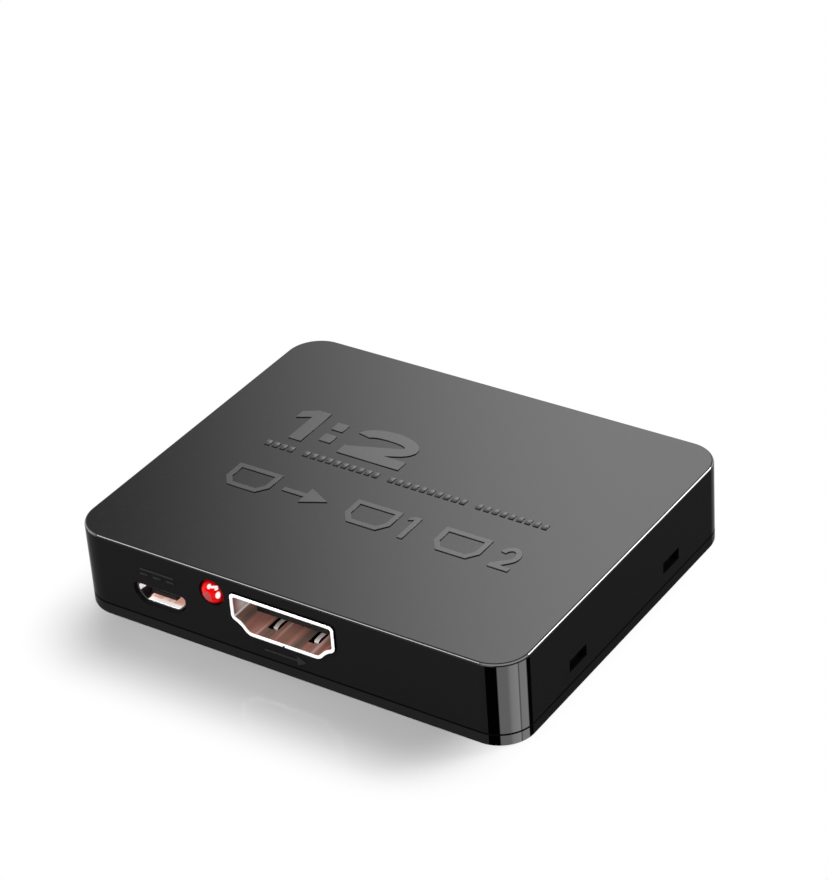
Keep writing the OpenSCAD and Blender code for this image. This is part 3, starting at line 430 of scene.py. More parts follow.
class Net:
    """The nodes of a material, a world or a group, with short ways to add to them."""

    def __init__(self, tree):
        self.nodes, self.links = tree.nodes, tree.links

    def put(self, socket, value):
        """Links another node's output to an input, or sets the input to a number, vector or colour."""
        if isinstance(value, NodeSocket):
            self.links.new(value, socket)
        elif socket.type == "RGBA" and len(value) == 3:
            socket.default_value = (*value, 1.0)
        else:
            socket.default_value = value

    def fill(self, node, **values):
        """Puts each value into the input of that name, with _ for a space."""
        for key, value in values.items():
            self.put(node.inputs[key.replace("_", " ")], value)

    def add(self, kind, modes=None, **inputs):
        """A new shader node with its modes and inputs."""
        node = self.nodes.new("ShaderNode" + kind)
        for key, value in (modes or {}).items():
            setattr(node, key, value)
        self.fill(node, **inputs)
        return node

    def math(self, operation, *values, clamp=False):
        node = self.add("Math", {"operation": operation, "use_clamp": clamp})
        for socket, value in zip(node.inputs, values):
            self.put(socket, value)
        return node.outputs[0]

    def vector_math(self, operation, *values):
        node = self.add("VectorMath", {"operation": operation})
        for socket, value in zip(node.inputs, values):
            self.put(socket, value)
        return node.outputs["Value" if operation == "LENGTH" else "Vector"]

    def span(self, value, low, high, to_low=0, to_high=1, how="LINEAR"):
        """A value taken from one range to another, and held at the ends."""
        return self.add(
            "MapRange", {"interpolation_type": how}, Value=value, From_Min=low, From_Max=high,
            To_Min=to_low, To_Max=to_high).outputs["Result"]

    def mix(self, share, first, second):
        """Two colours mixed."""
        return self.add("Mix", {"data_type": "RGBA"}, Factor=share, A=first, B=second).outputs["Result"]

    def over(self, under, top, value, low, high, most=1):
        """A colour with another over it, which comes in as a value goes from low to high."""
        return self.mix(self.span(value, low, high, 0, most), under, top)

    def axes(self, vector):
        """The X, Y and Z of a vector."""
        return self.add("SeparateXYZ", Vector=vector).outputs

    def facing(self):
        """The X, Y and Z of the way that the surface faces."""
        return self.axes(self.add("NewGeometry").outputs["Normal"])

    def noise(self, vector, scale, **more):
        return self.add("TexNoise", Vector=vector, Scale=scale, **more).outputs["Fac"]

    def mapped(self, vector, scale=(1, 1, 1), location=(0, 0, 0)):
        return self.add("Mapping", Vector=vector, Scale=scale, Location=location).outputs["Vector"]

    def place(self, **mapping):
        """Object coordinates through a Mapping node."""
        return self.mapped(self.add("TexCoord").outputs["Object"], **mapping)

    def group(self, name, vector, **values):
        """The outputs of a node of that group."""
        return self.add("Group", {"node_tree": node_group(name)}, Vector=vector, **values).outputs

    def bump(self, shader, height, strength, distance=0.02 * MM):
        node = self.add("Bump", Strength=strength, Distance=distance, Height=height)
        self.fill(shader, Normal=node.outputs["Normal"])

    def background_rays(self):
        """1 for the rays that meet the plain white background: the camera's, mirrored and refracted ones."""
        rays = self.add("LightPath").outputs
        seen = self.math("MAXIMUM", rays["Is Camera Ray"], rays["Is Glossy Ray"])
        return self.math("MAXIMUM", seen, rays["Is Transmission Ray"])

    def show(self, output, shader, other=None, share=None):
        """Sends a shader to the output, with another one mixed in."""
        if other is not None:
            node = self.add("MixShader", Fac=share)
            self.put(node.inputs[1], shader)
            self.put(node.inputs[2], other)
            shader = node.outputs["Shader"]
        self.fill(self.nodes[output], Surface=shader)


def uneven(net, ins, outs, signed, height):
    """Puts out a roughness that goes up and down with a value round zero, and a height."""
    spread = net.math("MULTIPLY", signed, ins["Variation"])
    net.put(outs["Roughness"], net.math("ADD", spread, ins["Roughness"], clamp=True))
    net.put(outs["Height"], height)


def moulded_skin(net, ins, outs):
    """Very fine unevenness of a moulded or pressed skin."""
    fine = net.noise(ins["Vector"], ins["Grain Size"], Detail=3)
    broad = net.noise(ins["Vector"], 90, Detail=2)
    uneven(net, ins, outs, net.math("SUBTRACT", net.math("ADD", fine, broad), 1.0), fine)


def settled_dust(net, ins, outs):
    """Sparse dust that settles on what faces up."""
    sparse = net.span(net.noise(ins["Vector"], 1400, Detail=4), 0.5, 0.85)
    up = net.math("MAXIMUM", net.facing()["Z"], 0.0)
    mask = net.math("MULTIPLY", net.math("MULTIPLY", sparse, up), ins["Amount"], clamp=True)
    net.put(outs["Colour"], net.mix(mask, ins["Clean Colour"], ins["Dust Colour"]))


def drawn_sheet(net, ins, outs):
    """Fine lines that rolling and drawing leave on sheet metal."""
    lines = net.noise(net.mapped(ins["Vector"], scale=(6, 0.5, 6)), 260, Detail=4)
    uneven(net, ins, outs, net.math("SUBTRACT", lines, 0.5), lines)


def corner_angle(net, ins, outs):
    """Angle round the nearest upright corner, from 0 at the long side to 1 at the short side."""
    place = net.axes(ins["Vector"])
    past = [net.math("SUBTRACT", net.math("ABSOLUTE", place[axis]), ins["Centre " + axis]) for axis in "XY"]
    net.put(outs["Share"], net.math("DIVIDE", net.math("ARCTAN2", *past), math.pi / 2))


def lens_painted_light(dark, painted_highlight_ovals):
    """Masks for a lit lens's rim, painted patch of shade and painted highlights; places and sizes in lens
    radii.
    """

    def build(net, ins, outs):
        scaled = net.vector_math("DIVIDE", ins["Vector"], ins["Radius"])

        def spot(place, size, near, far):
            """1 inside an oval round that place, fading to 0 from near to far."""
            (x, z), (wide, high) = place, size
            stretch, shift = (1 / wide, 0, 1 / high), (-x / wide, 0, -z / high)
            offset = net.vector_math("MULTIPLY_ADD", scaled, stretch, shift)
            return net.span(net.vector_math("LENGTH", offset), near, far, 1, 0)

        # The ring at the lens's edge, which takes a painted tone of its own
        net.put(outs["Rim"], net.math("SUBTRACT", 1.0, spot((0, 0), (1, 1), 0.6, 0.9)))
        # A patch of painted shade
        net.put(outs["Dark"], spot(*dark, 0.6, 1.0))
        # Painted highlights, where the lens should mirror lamps and the bright floor
        painted_highlight_mask = 0.0
        for oval in painted_highlight_ovals:
            painted_highlight_mask = net.math("MAXIMUM", painted_highlight_mask, spot(*oval, 0.75, 1.1))
        net.put(outs["Hot"], painted_highlight_mask)

    return build


# Each lens's patch of painted shade and its ovals of painted highlight: places and sizes in lens radii
RED_PAINTED_SHADE = ((-0.06, -0.07), (0.4, 0.46))
RED_PAINTED_HIGHLIGHTS = (
    ((0.03, 0.66), (0.17, 0.14)), ((0.34, 0.67), (0.3, 0.07)),
    ((0.56, 0.55), (0.1, 0.08)), ((0.7, 0.1), (0.13, 0.28)),
)
GREEN_PAINTED_SHADE = ((-0.2, -0.13), (0.6, 0.64))
GREEN_PAINTED_HIGHLIGHTS = (((0.04, 0.6), (0.2, 0.17)), ((0.48, 0.55), (0.17, 0.17)), ((0.71, 0.1), (0.14, 0.22)))

ROUGH_AND_HIGH = {"Roughness": 0.0, "Height": 0.0}
LENS_ZONES = {"Rim": 0.0, "Dark": 0.0, "Hot": 0.0}
GROUPS = {  # what builds each group, then its inputs beside Vector and its outputs, with their defaults
    "Moulded Skin": (
        moulded_skin, {"Grain Size": 900.0, "Roughness": 0.2, "Variation": 0.03}, ROUGH_AND_HIGH),
    "Drawn Sheet": (drawn_sheet, {"Roughness": 0.2, "Variation": 0.1}, ROUGH_AND_HIGH),
    "Settled Dust": (
        settled_dust, {"Clean Colour": (*WHITE, 1.0), "Dust Colour": (0.35, 0.34, 0.32, 1.0), "Amount": 0.02},
        {"Colour": (*WHITE, 1.0)}),
    "Corner Angle": (corner_angle, {"Centre X": 0.027, "Centre Y": 0.021}, {"Share": 0.0}),
    "Red Lens Depth": (lens_painted_light(RED_PAINTED_SHADE, RED_PAINTED_HIGHLIGHTS), {"Radius": 0.0017}, LENS_ZONES),
    "Green Lens Depth": (lens_painted_light(GREEN_PAINTED_SHADE, GREEN_PAINTED_HIGHLIGHTS), {"Radius": 0.0017}, LENS_ZONES),
}
SOCKET_TYPES = {1: "NodeSocketFloat", 3: "NodeSocketVector", 4: "NodeSocketColor"}


def node_group(name):
    """The shader node group of that name, built on first use."""
    group = bpy.data.node_groups.get(name)
    if group is None:
        group = bpy.data.node_groups.new(name, "ShaderNodeTree")
        build, inputs, outputs = GROUPS[name]
        for way, sockets in (("INPUT", {"Vector": (0.0, 0.0, 0.0), **inputs}), ("OUTPUT", outputs)):
            for key, value in sockets.items():
                kind = SOCKET_TYPES[len(value) if isinstance(value, tuple) else 1]
                group.interface.new_socket(name=key, in_out=way, socket_type=kind).default_value = value
        net = Net(group)
        build(net, net.nodes.new("NodeGroupInput").outputs, net.nodes.new("NodeGroupOutput").inputs)
    return group


def new_material(name):
    """A new material with its nodes and its shader."""
    mat = bpy.data.materials.new(name)
    mat.use_nodes = True
    net = Net(mat.node_tree)
    return mat, net, net.nodes["Principled BSDF"]


def darker(colour, share):
    return [c * share for c in colour]


# Materials


def plastic(name, colour, roughness, ior=1.5, variation=0.02, grain=900.0, relief=0.03, dust=0.012,
            polish=None):
    """A moulded plastic with a fine skin and a trace of dust, and a polish of that refractive index."""
    mat, net, shader = new_material(name)
    vector = net.place()
    skin = net.group("Moulded Skin", vector, Grain_Size=grain, Roughness=roughness, Variation=variation)
    dirt = net.group("Settled Dust", vector, Clean_Colour=colour, Amount=dust)
    net.fill(shader, Base_Color=dirt["Colour"], Roughness=skin["Roughness"], IOR=ior)
    if polish:
        net.fill(shader, Coat_Weight=1.0, Coat_Roughness=0.05, Coat_IOR=polish)
    net.bump(shader, skin["Height"], relief)
    return mat


def case_plastic(name, share, roughness, ior, **more):
    """The case's plastic, lighter or darker by a share."""
    return plastic(name, darker(settings().looks.case, share), roughness, ior=ior, **more)


# The coat's weight at each share of the angle round a corner, or along the top edge: painted highlights and
# reflections
EDGE_PAINTED_HIGHLIGHT = ((0.0, 0.17), (0.03, 0.2), (0.12, 1.0), (0.88, 1.0), (0.97, 0.33), (1.0, 0.3))
FRONT_PAINTED_REFLECTIONS = (
    (0.0, 0.0), (0.335, 0.0), (0.35, 0.55), (0.5, 0.55), (0.56, 0.85), (0.68, 1.0), (0.695, 0.35),
    (0.705, 0.35), (0.72, 0.8), (0.845, 0.8), (0.865, 0.0),
)
BACK_PAINTED_REFLECTIONS = (
    (0.0, 0.0), (0.1, 0.15), (0.14, 0.4), (0.31, 0.5), (0.35, 1.0), (0.53, 1.0), (0.56, 0.8), (0.7, 0.7),
    (0.72, 0.5), (0.92, 0.5), (0.95, 0.0),
)


def painted_reflection_coat(name, share, ior, streaks):
    """The case's plastic with a coat in upright streaks round a corner, which paints highlights and
    reflections.
    """
    looks, case = settings().looks, settings().case
    mat = case_plastic(name, share, looks.lid_gloss, ior, relief=0.01, polish=looks.polish)
    net = Net(mat.node_tree)
    centre = {"Centre_X": CASE_HIGH.x - case.corner, "Centre_Y": CASE_HIGH.y - case.corner}
    ramp = net.add("ValToRGB", Fac=net.group("Corner Angle", net.place(), **centre)["Share"])
    elements = ramp.color_ramp.elements
    while len(elements) < len(streaks):
        elements.new(0.5)
    for element, (place, level) in zip(elements, streaks):
        element.position = place
        element.color = (level, level, level, 1)
    net.fill(net.nodes["Principled BSDF"], Coat_Weight=ramp.outputs["Color"])
    return mat


def metal(name, colour, roughness, relief=0.05):
    """A drawn metal."""
    mat, net, shader = new_material(name)
    vector = net.place()
    sheet = net.group("Drawn Sheet", vector, Roughness=roughness, Variation=0.1)
    shade = net.mix(net.noise(vector, 420), darker(colour, 0.93), colour)
    net.fill(shader, Base_Color=shade, Roughness=sheet["Roughness"], Metallic=1.0)
    net.bump(shader, sheet["Height"], relief)
    return mat


def contact_metal(name, colour, tip):
    """Gold plating, with painted shade on the contacts' ends at |y| = |tip|, which are dark and not metallic.
    """
    mat = metal(name, colour, 0.22)
    net = Net(mat.node_tree)
    shader = net.nodes["Principled BSDF"]
    at_end = net.math("GREATER_THAN", net.math("ABSOLUTE", net.axes(net.place())["Y"]), abs(tip) - NEAR)
    plated = shader.inputs["Base Color"].links[0].from_socket
    painted_shade_end = net.mix(at_end, plated, (0.012, 0.011, 0.01))
    net.fill(shader, Base_Color=painted_shade_end, Metallic=net.span(at_end, 0, 1, 1, 0))
    return mat


def socket_metal(name, mouth, band, floor, streak, left, right, side, slope=None, rim=None, glow=0.0):
    """Nickel, bright in a band at the mouth at |y| = mouth, and darker and browner further in.

    The walls on the left and right of the mouth take painted tones of their own, painted light on the left
    and painted shade on the right, and so may the sloped wall on the left and the rim's face. side is -1 on
    the input side, 1 behind. glow adds the brightness of what the metal mirrors, as a painted reflection.
    """
    mat, net, shader = new_material(name)
    vector = net.place()
    sheet = net.group("Drawn Sheet", vector, Roughness=0.3, Variation=0.12)
    reach = net.math("ABSOLUTE", net.axes(vector)["Y"])
    inside = net.span(reach, mouth - band, mouth - 1.3 * band)
    # Stripes that run in from the mouth
    wide = net.noise(net.mapped(vector, scale=(1, 0.03, 0.7)), 1000, Detail=1.5)
    lines = net.span(wide, 0.43, 0.6)
    tone = net.over(net.mix(lines, streak, floor), left, wide, 0.64, 0.7, 0.28)
    facing = net.facing()
    # 1 on the wall at the left of the mouth, which faces right, and -1 on the one at its right
    sideways = net.math("MULTIPLY", facing["X"], float(-side))
    silver = net.mix(lines, darker(left, 0.7), left)
    # The sloped wall on the left takes a painted tone of its own
    if slope:
        tone = net.over(tone, slope, sideways, 0.25, 0.4)
    else:
        silver = net.over(floor, silver, reach, mouth - 0.3 * MM, mouth - 1.8 * MM)
    # Painted highlight: white on the bends beside the left wall; painted light on that wall, painted shade on
    # the right one
    silver = net.over(WHITE, silver, sideways, 0.94, 0.99)
    tone = net.over(tone, silver, sideways, 0.75, 0.85)
    tone = net.over(tone, right, sideways, -0.3, -0.6)
    bright = settings().looks.metal
    # Painted tones at the mouth: painted shade on the rim's face, and the sloped and left walls' tones
    if rim:
        bright = net.over(bright, rim, net.math("ABSOLUTE", facing["Y"]), 0.6, 0.8)
        bright = net.over(bright, slope, sideways, 0.1, 0.25)
        bright = net.over(bright, left, sideways, 0.8, 0.9)
    shade = net.mix(inside, bright, tone)
    # The glow is a painted reflection: the metal's own colour shines as emission
    net.fill(shader, Base_Color=shade, Roughness=sheet["Roughness"],
             Metallic=net.span(inside, 0, 1, 0.4, 0.25), Emission_Color=shade, Emission_Strength=glow)
    net.bump(shader, sheet["Height"], 0.05)
    return mat


def lamp_resin(name, kind, rim, body, painted_shade_colour, x, side):
    """Tinted clear epoxy, lit from inside, with painted light and shade, for the lamp at that place and side.
    """
    mat, net, shader = new_material(name)
    vector = net.place(scale=(-side, 1, 1), location=(side * x, 0, -LAMP_Z))
    skin = net.group("Moulded Skin", vector, Grain_Size=500.0, Roughness=0.03, Variation=0.01)
    zones = net.group(kind + " Lens Depth", vector, Radius=settings().lamps.diameter / 2)
    # Painted tones: the rim lighter on the green lenses and darker on the red one, and a patch of painted
    # shade
    tinted = net.mix(zones["Dark"], net.mix(zones["Rim"], body, rim), painted_shade_colour)
    lit = net.mix(zones["Rim"], darker(body, 0.3), darker(rim, 0.3))
    lit = net.mix(zones["Dark"], lit, darker(painted_shade_colour, 0.1))
    # Painted highlights: the lens glows white where it should mirror lamps
    net.fill(shader, Base_Color=tinted, Emission_Color=net.mix(zones["Hot"], lit, darker(WHITE, 0.95)),
             Roughness=skin["Roughness"], IOR=1.2, Emission_Strength=1.0, Transmission_Weight=0.3)
    return mat


def green_resin(name, x):
    green = settings().looks.green
    return lamp_resin(name, "Green", green, darker(green, 0.4), (0.008, 0.03, 0.012), x, 1)


def laminate(name):
    """Green solder mask over copper tracks."""
    mat, net, shader = new_material(name)
    vector = net.place()
    tracks = net.add("TexBrick", Vector=vector, Scale=260, Mortar_Size=0.035, Color1=(0.012, 0.085, 0.03),
                     Color2=(0.014, 0.1, 0.036), Mortar=(0.03, 0.19, 0.07)).outputs
    skin = net.group("Moulded Skin", vector, Grain_Size=700.0, Roughness=0.35, Variation=0.08)
    net.fill(shader, Base_Color=tracks["Color"], Roughness=skin["Roughness"])
    net.bump(shader, tracks["Fac"], 0.1, 0.03 * MM)
    return mat


def ceramic(name, colour, speckle, roughness):
    """Fired ceramic or ferrite with a speckle."""
    mat, net, shader = new_material(name)
    vector = net.place()
    grain = net.add("TexVoronoi", Vector=vector, Scale=2600).outputs["Distance"]
    skin = net.group("Moulded Skin", vector, Grain_Size=1500.0, Roughness=roughness, Variation=0.1)
    net.fill(shader, Base_Color=net.mix(grain, colour, speckle), Roughness=skin["Roughness"])
    net.bump(shader, skin["Height"], 0.1)
    return mat


def finish(key):
    """The material of that name, made on first use."""
    mat = bpy.data.materials.get(key)
    if mat:
        return mat
    s = settings().looks
    shell_mouth, usb_mouth = abs(SHELL_LOW.y), abs(USB_LOW.y)
    makers = {
        "polished_lid": lambda: case_plastic(key, 1, s.lid_gloss, s.lid_ior, relief=0.01),
        # Painted highlight: the coat along the top edge
        "polished_edge": lambda: painted_reflection_coat(key, 1, s.lid_ior, EDGE_PAINTED_HIGHLIGHT),
        # Painted reflections: coat in upright streaks round the lit corners, on a base darkened as painted
        # shade
        "polished_corner": lambda: painted_reflection_coat(key, 1 / 8, 1.02, FRONT_PAINTED_REFLECTIONS),
        "polished_back": lambda: painted_reflection_coat(key, 1 / 8, 1.02, BACK_PAINTED_REFLECTIONS),
        # The walls: lighter than the lid as painted light on the front and sides, darker on the back as
        # painted shade
        "moulded_wall": lambda: case_plastic(key, 2.5, s.wall_gloss, s.wall_ior, variation=0.03, relief=0.02),
        "moulded_side": lambda: case_plastic(key, 2.6, s.wall_gloss, 1.02, variation=0.03, relief=0.02),
        "moulded_back": lambda: case_plastic(key, 0.6, s.wall_gloss, s.wall_ior, variation=0.03, relief=0.02),
        # The tray: lighter than the cover's walls by a tone of its own, and lighter than the lid by painted
        # light as they are
        "moulded_tray": lambda: case_plastic(key, 3.8, 0.24, 1.05, variation=0.04, relief=0.04),
        # Painted shade in the seam, in the windows and on the tray inside the case
        "seam_groove": lambda: case_plastic(key, 0.7, 0.5, 1.02, variation=0.03, relief=0.02, dust=0.0),
        "raised_mark": lambda: plastic(key, s.mark, 0.24, ior=1.4, variation=0.05),
        # Painted shade: marks on the walls are darker than those on the lid
        "wall_mark": lambda: plastic(key, darker(s.mark, 0.75), 0.3, ior=1.15, variation=0.05),
        # Painted light on the left wall and painted shade on the right one
        "nickel_sheet": lambda: socket_metal(
            key, shell_mouth, 0.14 * MM, s.metal_inside, s.metal_streak, (1.0, 0.93, 0.92),
            (0.6, 0.17, 0.11), -1),
        # A lighter copy of the input shell's metal as painted light: a white sloped wall, a grey rim face as
        # painted shade, and a glow as painted reflection
        "nickel_output": lambda: socket_metal(
            key, shell_mouth, 0.14 * MM, (0.88, 0.68, 0.62), (0.5, 0.34, 0.3), WHITE, (0.55, 0.36, 0.31), 1,
            slope=(1.0, 0.97, 0.95), rim=(0.34, 0.34, 0.34), glow=0.15),
        # A wide white band at the mouth and a glow as painted light, a black sloped wall as painted shadow, a
        # dark rim face as painted shade
        "nickel_usb": lambda: socket_metal(
            key, usb_mouth, 0.6 * MM, (0.95, 0.62, 0.52), (0.75, 0.42, 0.34), WHITE, (0.6, 0.3, 0.24), -1,
            slope=(0.004, 0.004, 0.004), rim=(0.05, 0.05, 0.05), glow=0.3),
        # A lighter copy on the spring fingers: painted light
        "nickel_finger": lambda: socket_metal(
            key, shell_mouth, 0.14 * MM, (0.9, 0.84, 0.82), (0.5, 0.45, 0.43), (0.6, 0.56, 0.55),
            (0.2, 0.17, 0.16), -1),
        # Painted shadow: nearly black metal on the slots' cut walls and on the shells' outside in the gap
        # round them
        "cut_edge": lambda: metal(key, (0.02, 0.016, 0.015), 0.5),
        "black_insulator": lambda: plastic(
            key, (0.005, 0.005, 0.0053), 0.38, ior=1.25, variation=0.06, relief=0.08, dust=0.0),
        # Painted shade on the contacts' ends by the mouth
        "plated_contact": lambda: contact_metal(key, (0.83, 0.62, 0.27), SHELL_LOW.y + 2.5 * MM),
        "red_resin": lambda: lamp_resin(
            key, "Red", darker(s.red, 0.45), darker(s.red, 0.8), (0.42, 0.09, 0.1), LAMP_X, -1),
        "green_resin_1": lambda: green_resin(key, OUT_LAMP_X),
        "green_resin_2": lambda: green_resin(key, -OUT_LAMP_X),
        "tinned_wire": lambda: metal(key, (0.66, 0.66, 0.67), 0.34, relief=0.1),
        "chip_moulding": lambda: plastic(
            key, (0.02, 0.02, 0.021), 0.5, variation=0.08, grain=2200.0, relief=0.2, dust=0.0),
        "satin_can": lambda: metal(key, (0.7, 0.7, 0.7), 0.3, relief=0.08),
        "bright_can": lambda: metal(key, (0.8, 0.8, 0.82), 0.18),
        "capacitor_base": lambda: plastic(key, (0.015, 0.015, 0.015), 0.45, dust=0.0),
        "ferrite_core": lambda: ceramic(key, (0.05, 0.05, 0.052), (0.08, 0.08, 0.08), 0.45),
        "tan_ceramic": lambda: ceramic(key, (0.36, 0.24, 0.12), (0.44, 0.31, 0.18), 0.4),
        "black_ceramic": lambda: ceramic(key, (0.02, 0.02, 0.022), (0.05, 0.05, 0.05), 0.3),
        "green_laminate": lambda: laminate(key),
    }
    return makers[key]()


def paint(obj, base, *layers):
    """Gives the piece its material, and then the faces that pass each layer's test that layer's own."""
    obj.data.materials.clear()
    for key in (base, *(key for key, test in layers)):
        obj.data.materials.append(finish(key))
    for slot, (key, test) in enumerate(layers, 1):
        pick(obj, "FACE", test)
        obj.active_material_index = slot
        bpy.ops.object.material_slot_assign()
        leave()


# Where the outside of the case takes painted light and shade, and finishes of its own


def on_top_edge(c, n):
    """Whether a face lies in the painted highlight on the cover's top edge, which is narrower at the short
    sides.
    """
    at_short_side = abs(n.x) > 0.4
    low, high = (0.6, 0.8) if at_short_side else (0.3, 0.9)
    return c.z > CASE_HIGH.z - settings().case.edge and low < n.z < high


def on_front_corner(c, n):
    """Whether a face lies on the outside of one of the two upright corners that take painted floor
    reflections.
    """
    s = settings().case
    past_x, past_y = abs(c.x) - (CASE_HIGH.x - s.corner), abs(c.y) - (CASE_HIGH.y - s.corner)
    outside = math.hypot(max(past_x, 0), max(past_y, 0)) > s.corner - s.wall / 2
    lit = 12 < math.degrees(math.atan2(past_x, past_y)) < 86
    lit_pair = c.x * c.y < 0
    return past_x > 0 and past_y > 0 and lit_pair and abs(n.z) < FACES and outside and lit


def on_back_corner(c, n):
    return n.x < 0 < n.y and on_front_corner(c, n)


def on_side_wall(c, n):
    return abs(n.x) > SQUARE and abs(c.x) > CASE_HIGH.x - NEAR


def on_back_wall(c, n):
    return n.y > SQUARE and c.y > CASE_HIGH.y - NEAR


# Outlines of the sockets, seen from their mouth


def both_sides(right):
    """A right half outline and its mirror image, as one closed outline."""
    return right + [(-x, z) for x, z in reversed(right)]


def moved_outwards(outline, grow):
    """A counterclockwise outline with each of its sides moved outwards by the same distance."""
    points = [Vector(p) for p in outline]
    moved = []
    for i, p in enumerate(points):
        before = (p - points[i - 1]).normalized()
        after = (points[(i + 1) % len(points)] - p).normalized()
        m, k = Vector((before.y, -before.x)), Vector((after.y, -after.x))
        moved.append(tuple(p + (m + k) * grow / (1 + m.dot(k))))
    return moved


def video_outline(grow=0.0):
    s = settings().sockets
    right = [(s.base / 2, 0.0), (s.kink / 2, s.kink_height), (s.width / 2, s.side), (s.width / 2, s.height)]
    return moved_outwards(both_sides(right), grow)


def usb_outline(grow=0.0):
    s = settings().sockets
    right = [(s.usb_base / 2, 0.0), (s.usb_width / 2, s.usb_side), (s.usb_width / 2, s.usb_height)]
    return moved_outwards(both_sides(right), grow)


def shell_bottom():
    return BOARD_HIGH.z + settings().sockets.lift


# Pieces


def rounded_block(name, low_z, high_z):
    """The case's plan between two heights, with its upright corners rounded."""
    s = settings().case
    obj = block(name, (CASE_LOW.x, CASE_LOW.y, low_z), (CASE_HIGH.x, -CASE_LOW.y, high_z))
    bevel(obj, lambda a, b: abs(a.z - b.z) > NEAR, s.corner, s.corner_steps)
    return obj


def post_places():
    s = settings().case
    return [(sx * s.post_x, y) for sx in (-1, 1) for y in (-s.post_front, s.post_back)]


class SPLITTER_OT_cover(Operator):
    """Models the glossy top cover with its openings, windows, lamp holes and posts"""

    bl_idname = "splitter.cover"
    bl_label = "Top Cover"

    def execute(self, context):
        s, k, lamp = settings().case, settings().sockets, settings().lamps
        seam, top = CASE_LOW.z, CASE_HIGH.z
        half_w, half_d = CASE_HIGH.x, CASE_HIGH.y
        window_top = s.window_low + s.window_height
        hole = lamp.diameter / 2 + lamp.hole_gap
        obj = rounded_block("top_cover_moulding", seam, top)
        bevel(obj, lambda a, b: min(a.z, b.z) > top - NEAR, s.edge, ROUND)
        bevel(obj, lambda a, b: max(a.z, b.z) < seam + NEAR, s.groove, CHAMFER)
        sink(obj, lambda c, n: n.z < -FACES and c.z < seam + NEAR, (s.wall - s.groove, top - s.top - seam))

        # Cutters start outside the wall and end inside it
        before, reach = s.wall, 2 * s.wall
        cutters = []
        for sx in (-1, 1):
            x = sorted((sx * (half_w - reach), sx * (half_w + before)))
            for y in (-s.catch, s.catch):
                low = (x[0], y - s.window / 2, s.window_low)
                cutters.append(block("cutter", low, (x[1], y + s.window / 2, window_top)))
        for x, side in SOCKETS:
            y = side * (half_d + before)
            outline = [(x + px, y, shell_bottom() + pz) for px, pz in video_outline(k.opening_gap)]
            through = (0, -side * (before + reach), 0)
            cutters.append(prism("cutter", outline, through, bend=k.bend + k.opening_gap))
        outline = [(USB_X + px, -half_d - before, BOARD_HIGH.z + pz) for px, pz in usb_outline(k.usb_gap)]
        cutters.append(prism("cutter", outline, (0, before + reach, 0), bend=2 * k.usb_sheet))
        for x, side in LAMPS:
            start, end = (x, side * (half_d + before), LAMP_Z), (x, side * (half_d - reach), LAMP_Z)
            cutters.append(rod("cutter", start, end, hole, lamp.steps))
        combine(obj, cutters, "DIFFERENCE")

        def outer_rim(a, b):
            """Whether an edge is a window's or a lamp hole's, on the outside of the case."""
            beside = min(abs(a.x), abs(b.x)) > half_w - NEAR
            in_window = beside and s.window_low - NEAR < min(a.z, b.z) and max(a.z, b.z) < window_top + NEAR
            on_face = abs(a.y - b.y) < NEAR and abs(abs(a.y) - half_d) < NEAR
            middles = [Vector((x, side * half_d, LAMP_Z)) for x, side in LAMPS]
            round_lamp = any(max((a - m).length, (b - m).length) < hole + NEAR for m in middles)
            return in_window or on_face and round_lamp

        bevel(obj, outer_rim, s.rim, SMALL_ROUND)
        posts = []
        inside_top = top - s.top * 0.6
        bore = ((s.post - s.pin) / 2 - s.lip_gap, s.pin_rise + s.lip_gap)
        for x, y in post_places():
            post = rod("post", (x, y, BOARD_HIGH.z), (x, y, inside_top), s.post / 2)
            sink(post, lambda c, n: n.z < -FACES, bore)
            posts.append(post)
        combine(obj, posts, "UNION")
        finish_surface(obj, CASE_ANGLE)

        def in_window(c, n):
            """Whether a face is a window's end, floor or roof, between the case's outside and the hook."""
            inside = half_w - s.wall + NEAR < abs(c.x) < half_w - s.rim and abs(n.x) < 0.5
            along = abs(abs(c.y) - s.catch) < s.window / 2 + NEAR
            return inside and s.window_low - NEAR < c.z < window_top + NEAR and along

        # Painted light on the walls and painted shade on the back wall; painted shade in the seam and the
        # windows; a painted highlight on the top edge and painted reflections on the lit corners
        paint(
            obj, "polished_lid",
            ("moulded_wall", lambda c, n: n.z < 0.3 or c.z < top - s.top),
            ("polished_edge", on_top_edge),
            ("polished_corner", lambda c, n: abs(n.z) < UPRIGHT and on_front_corner(c, n)),
            ("polished_back", lambda c, n: abs(n.z) < UPRIGHT and on_back_corner(c, n)),
            ("moulded_side", on_side_wall),
            ("moulded_back", on_back_wall),
            ("seam_groove", lambda c, n: n.z < -0.5 and c.z < seam + s.groove or in_window(c, n)))
        hand_over(obj, "case_plastic", "top_cover")
        return {"FINISHED"}


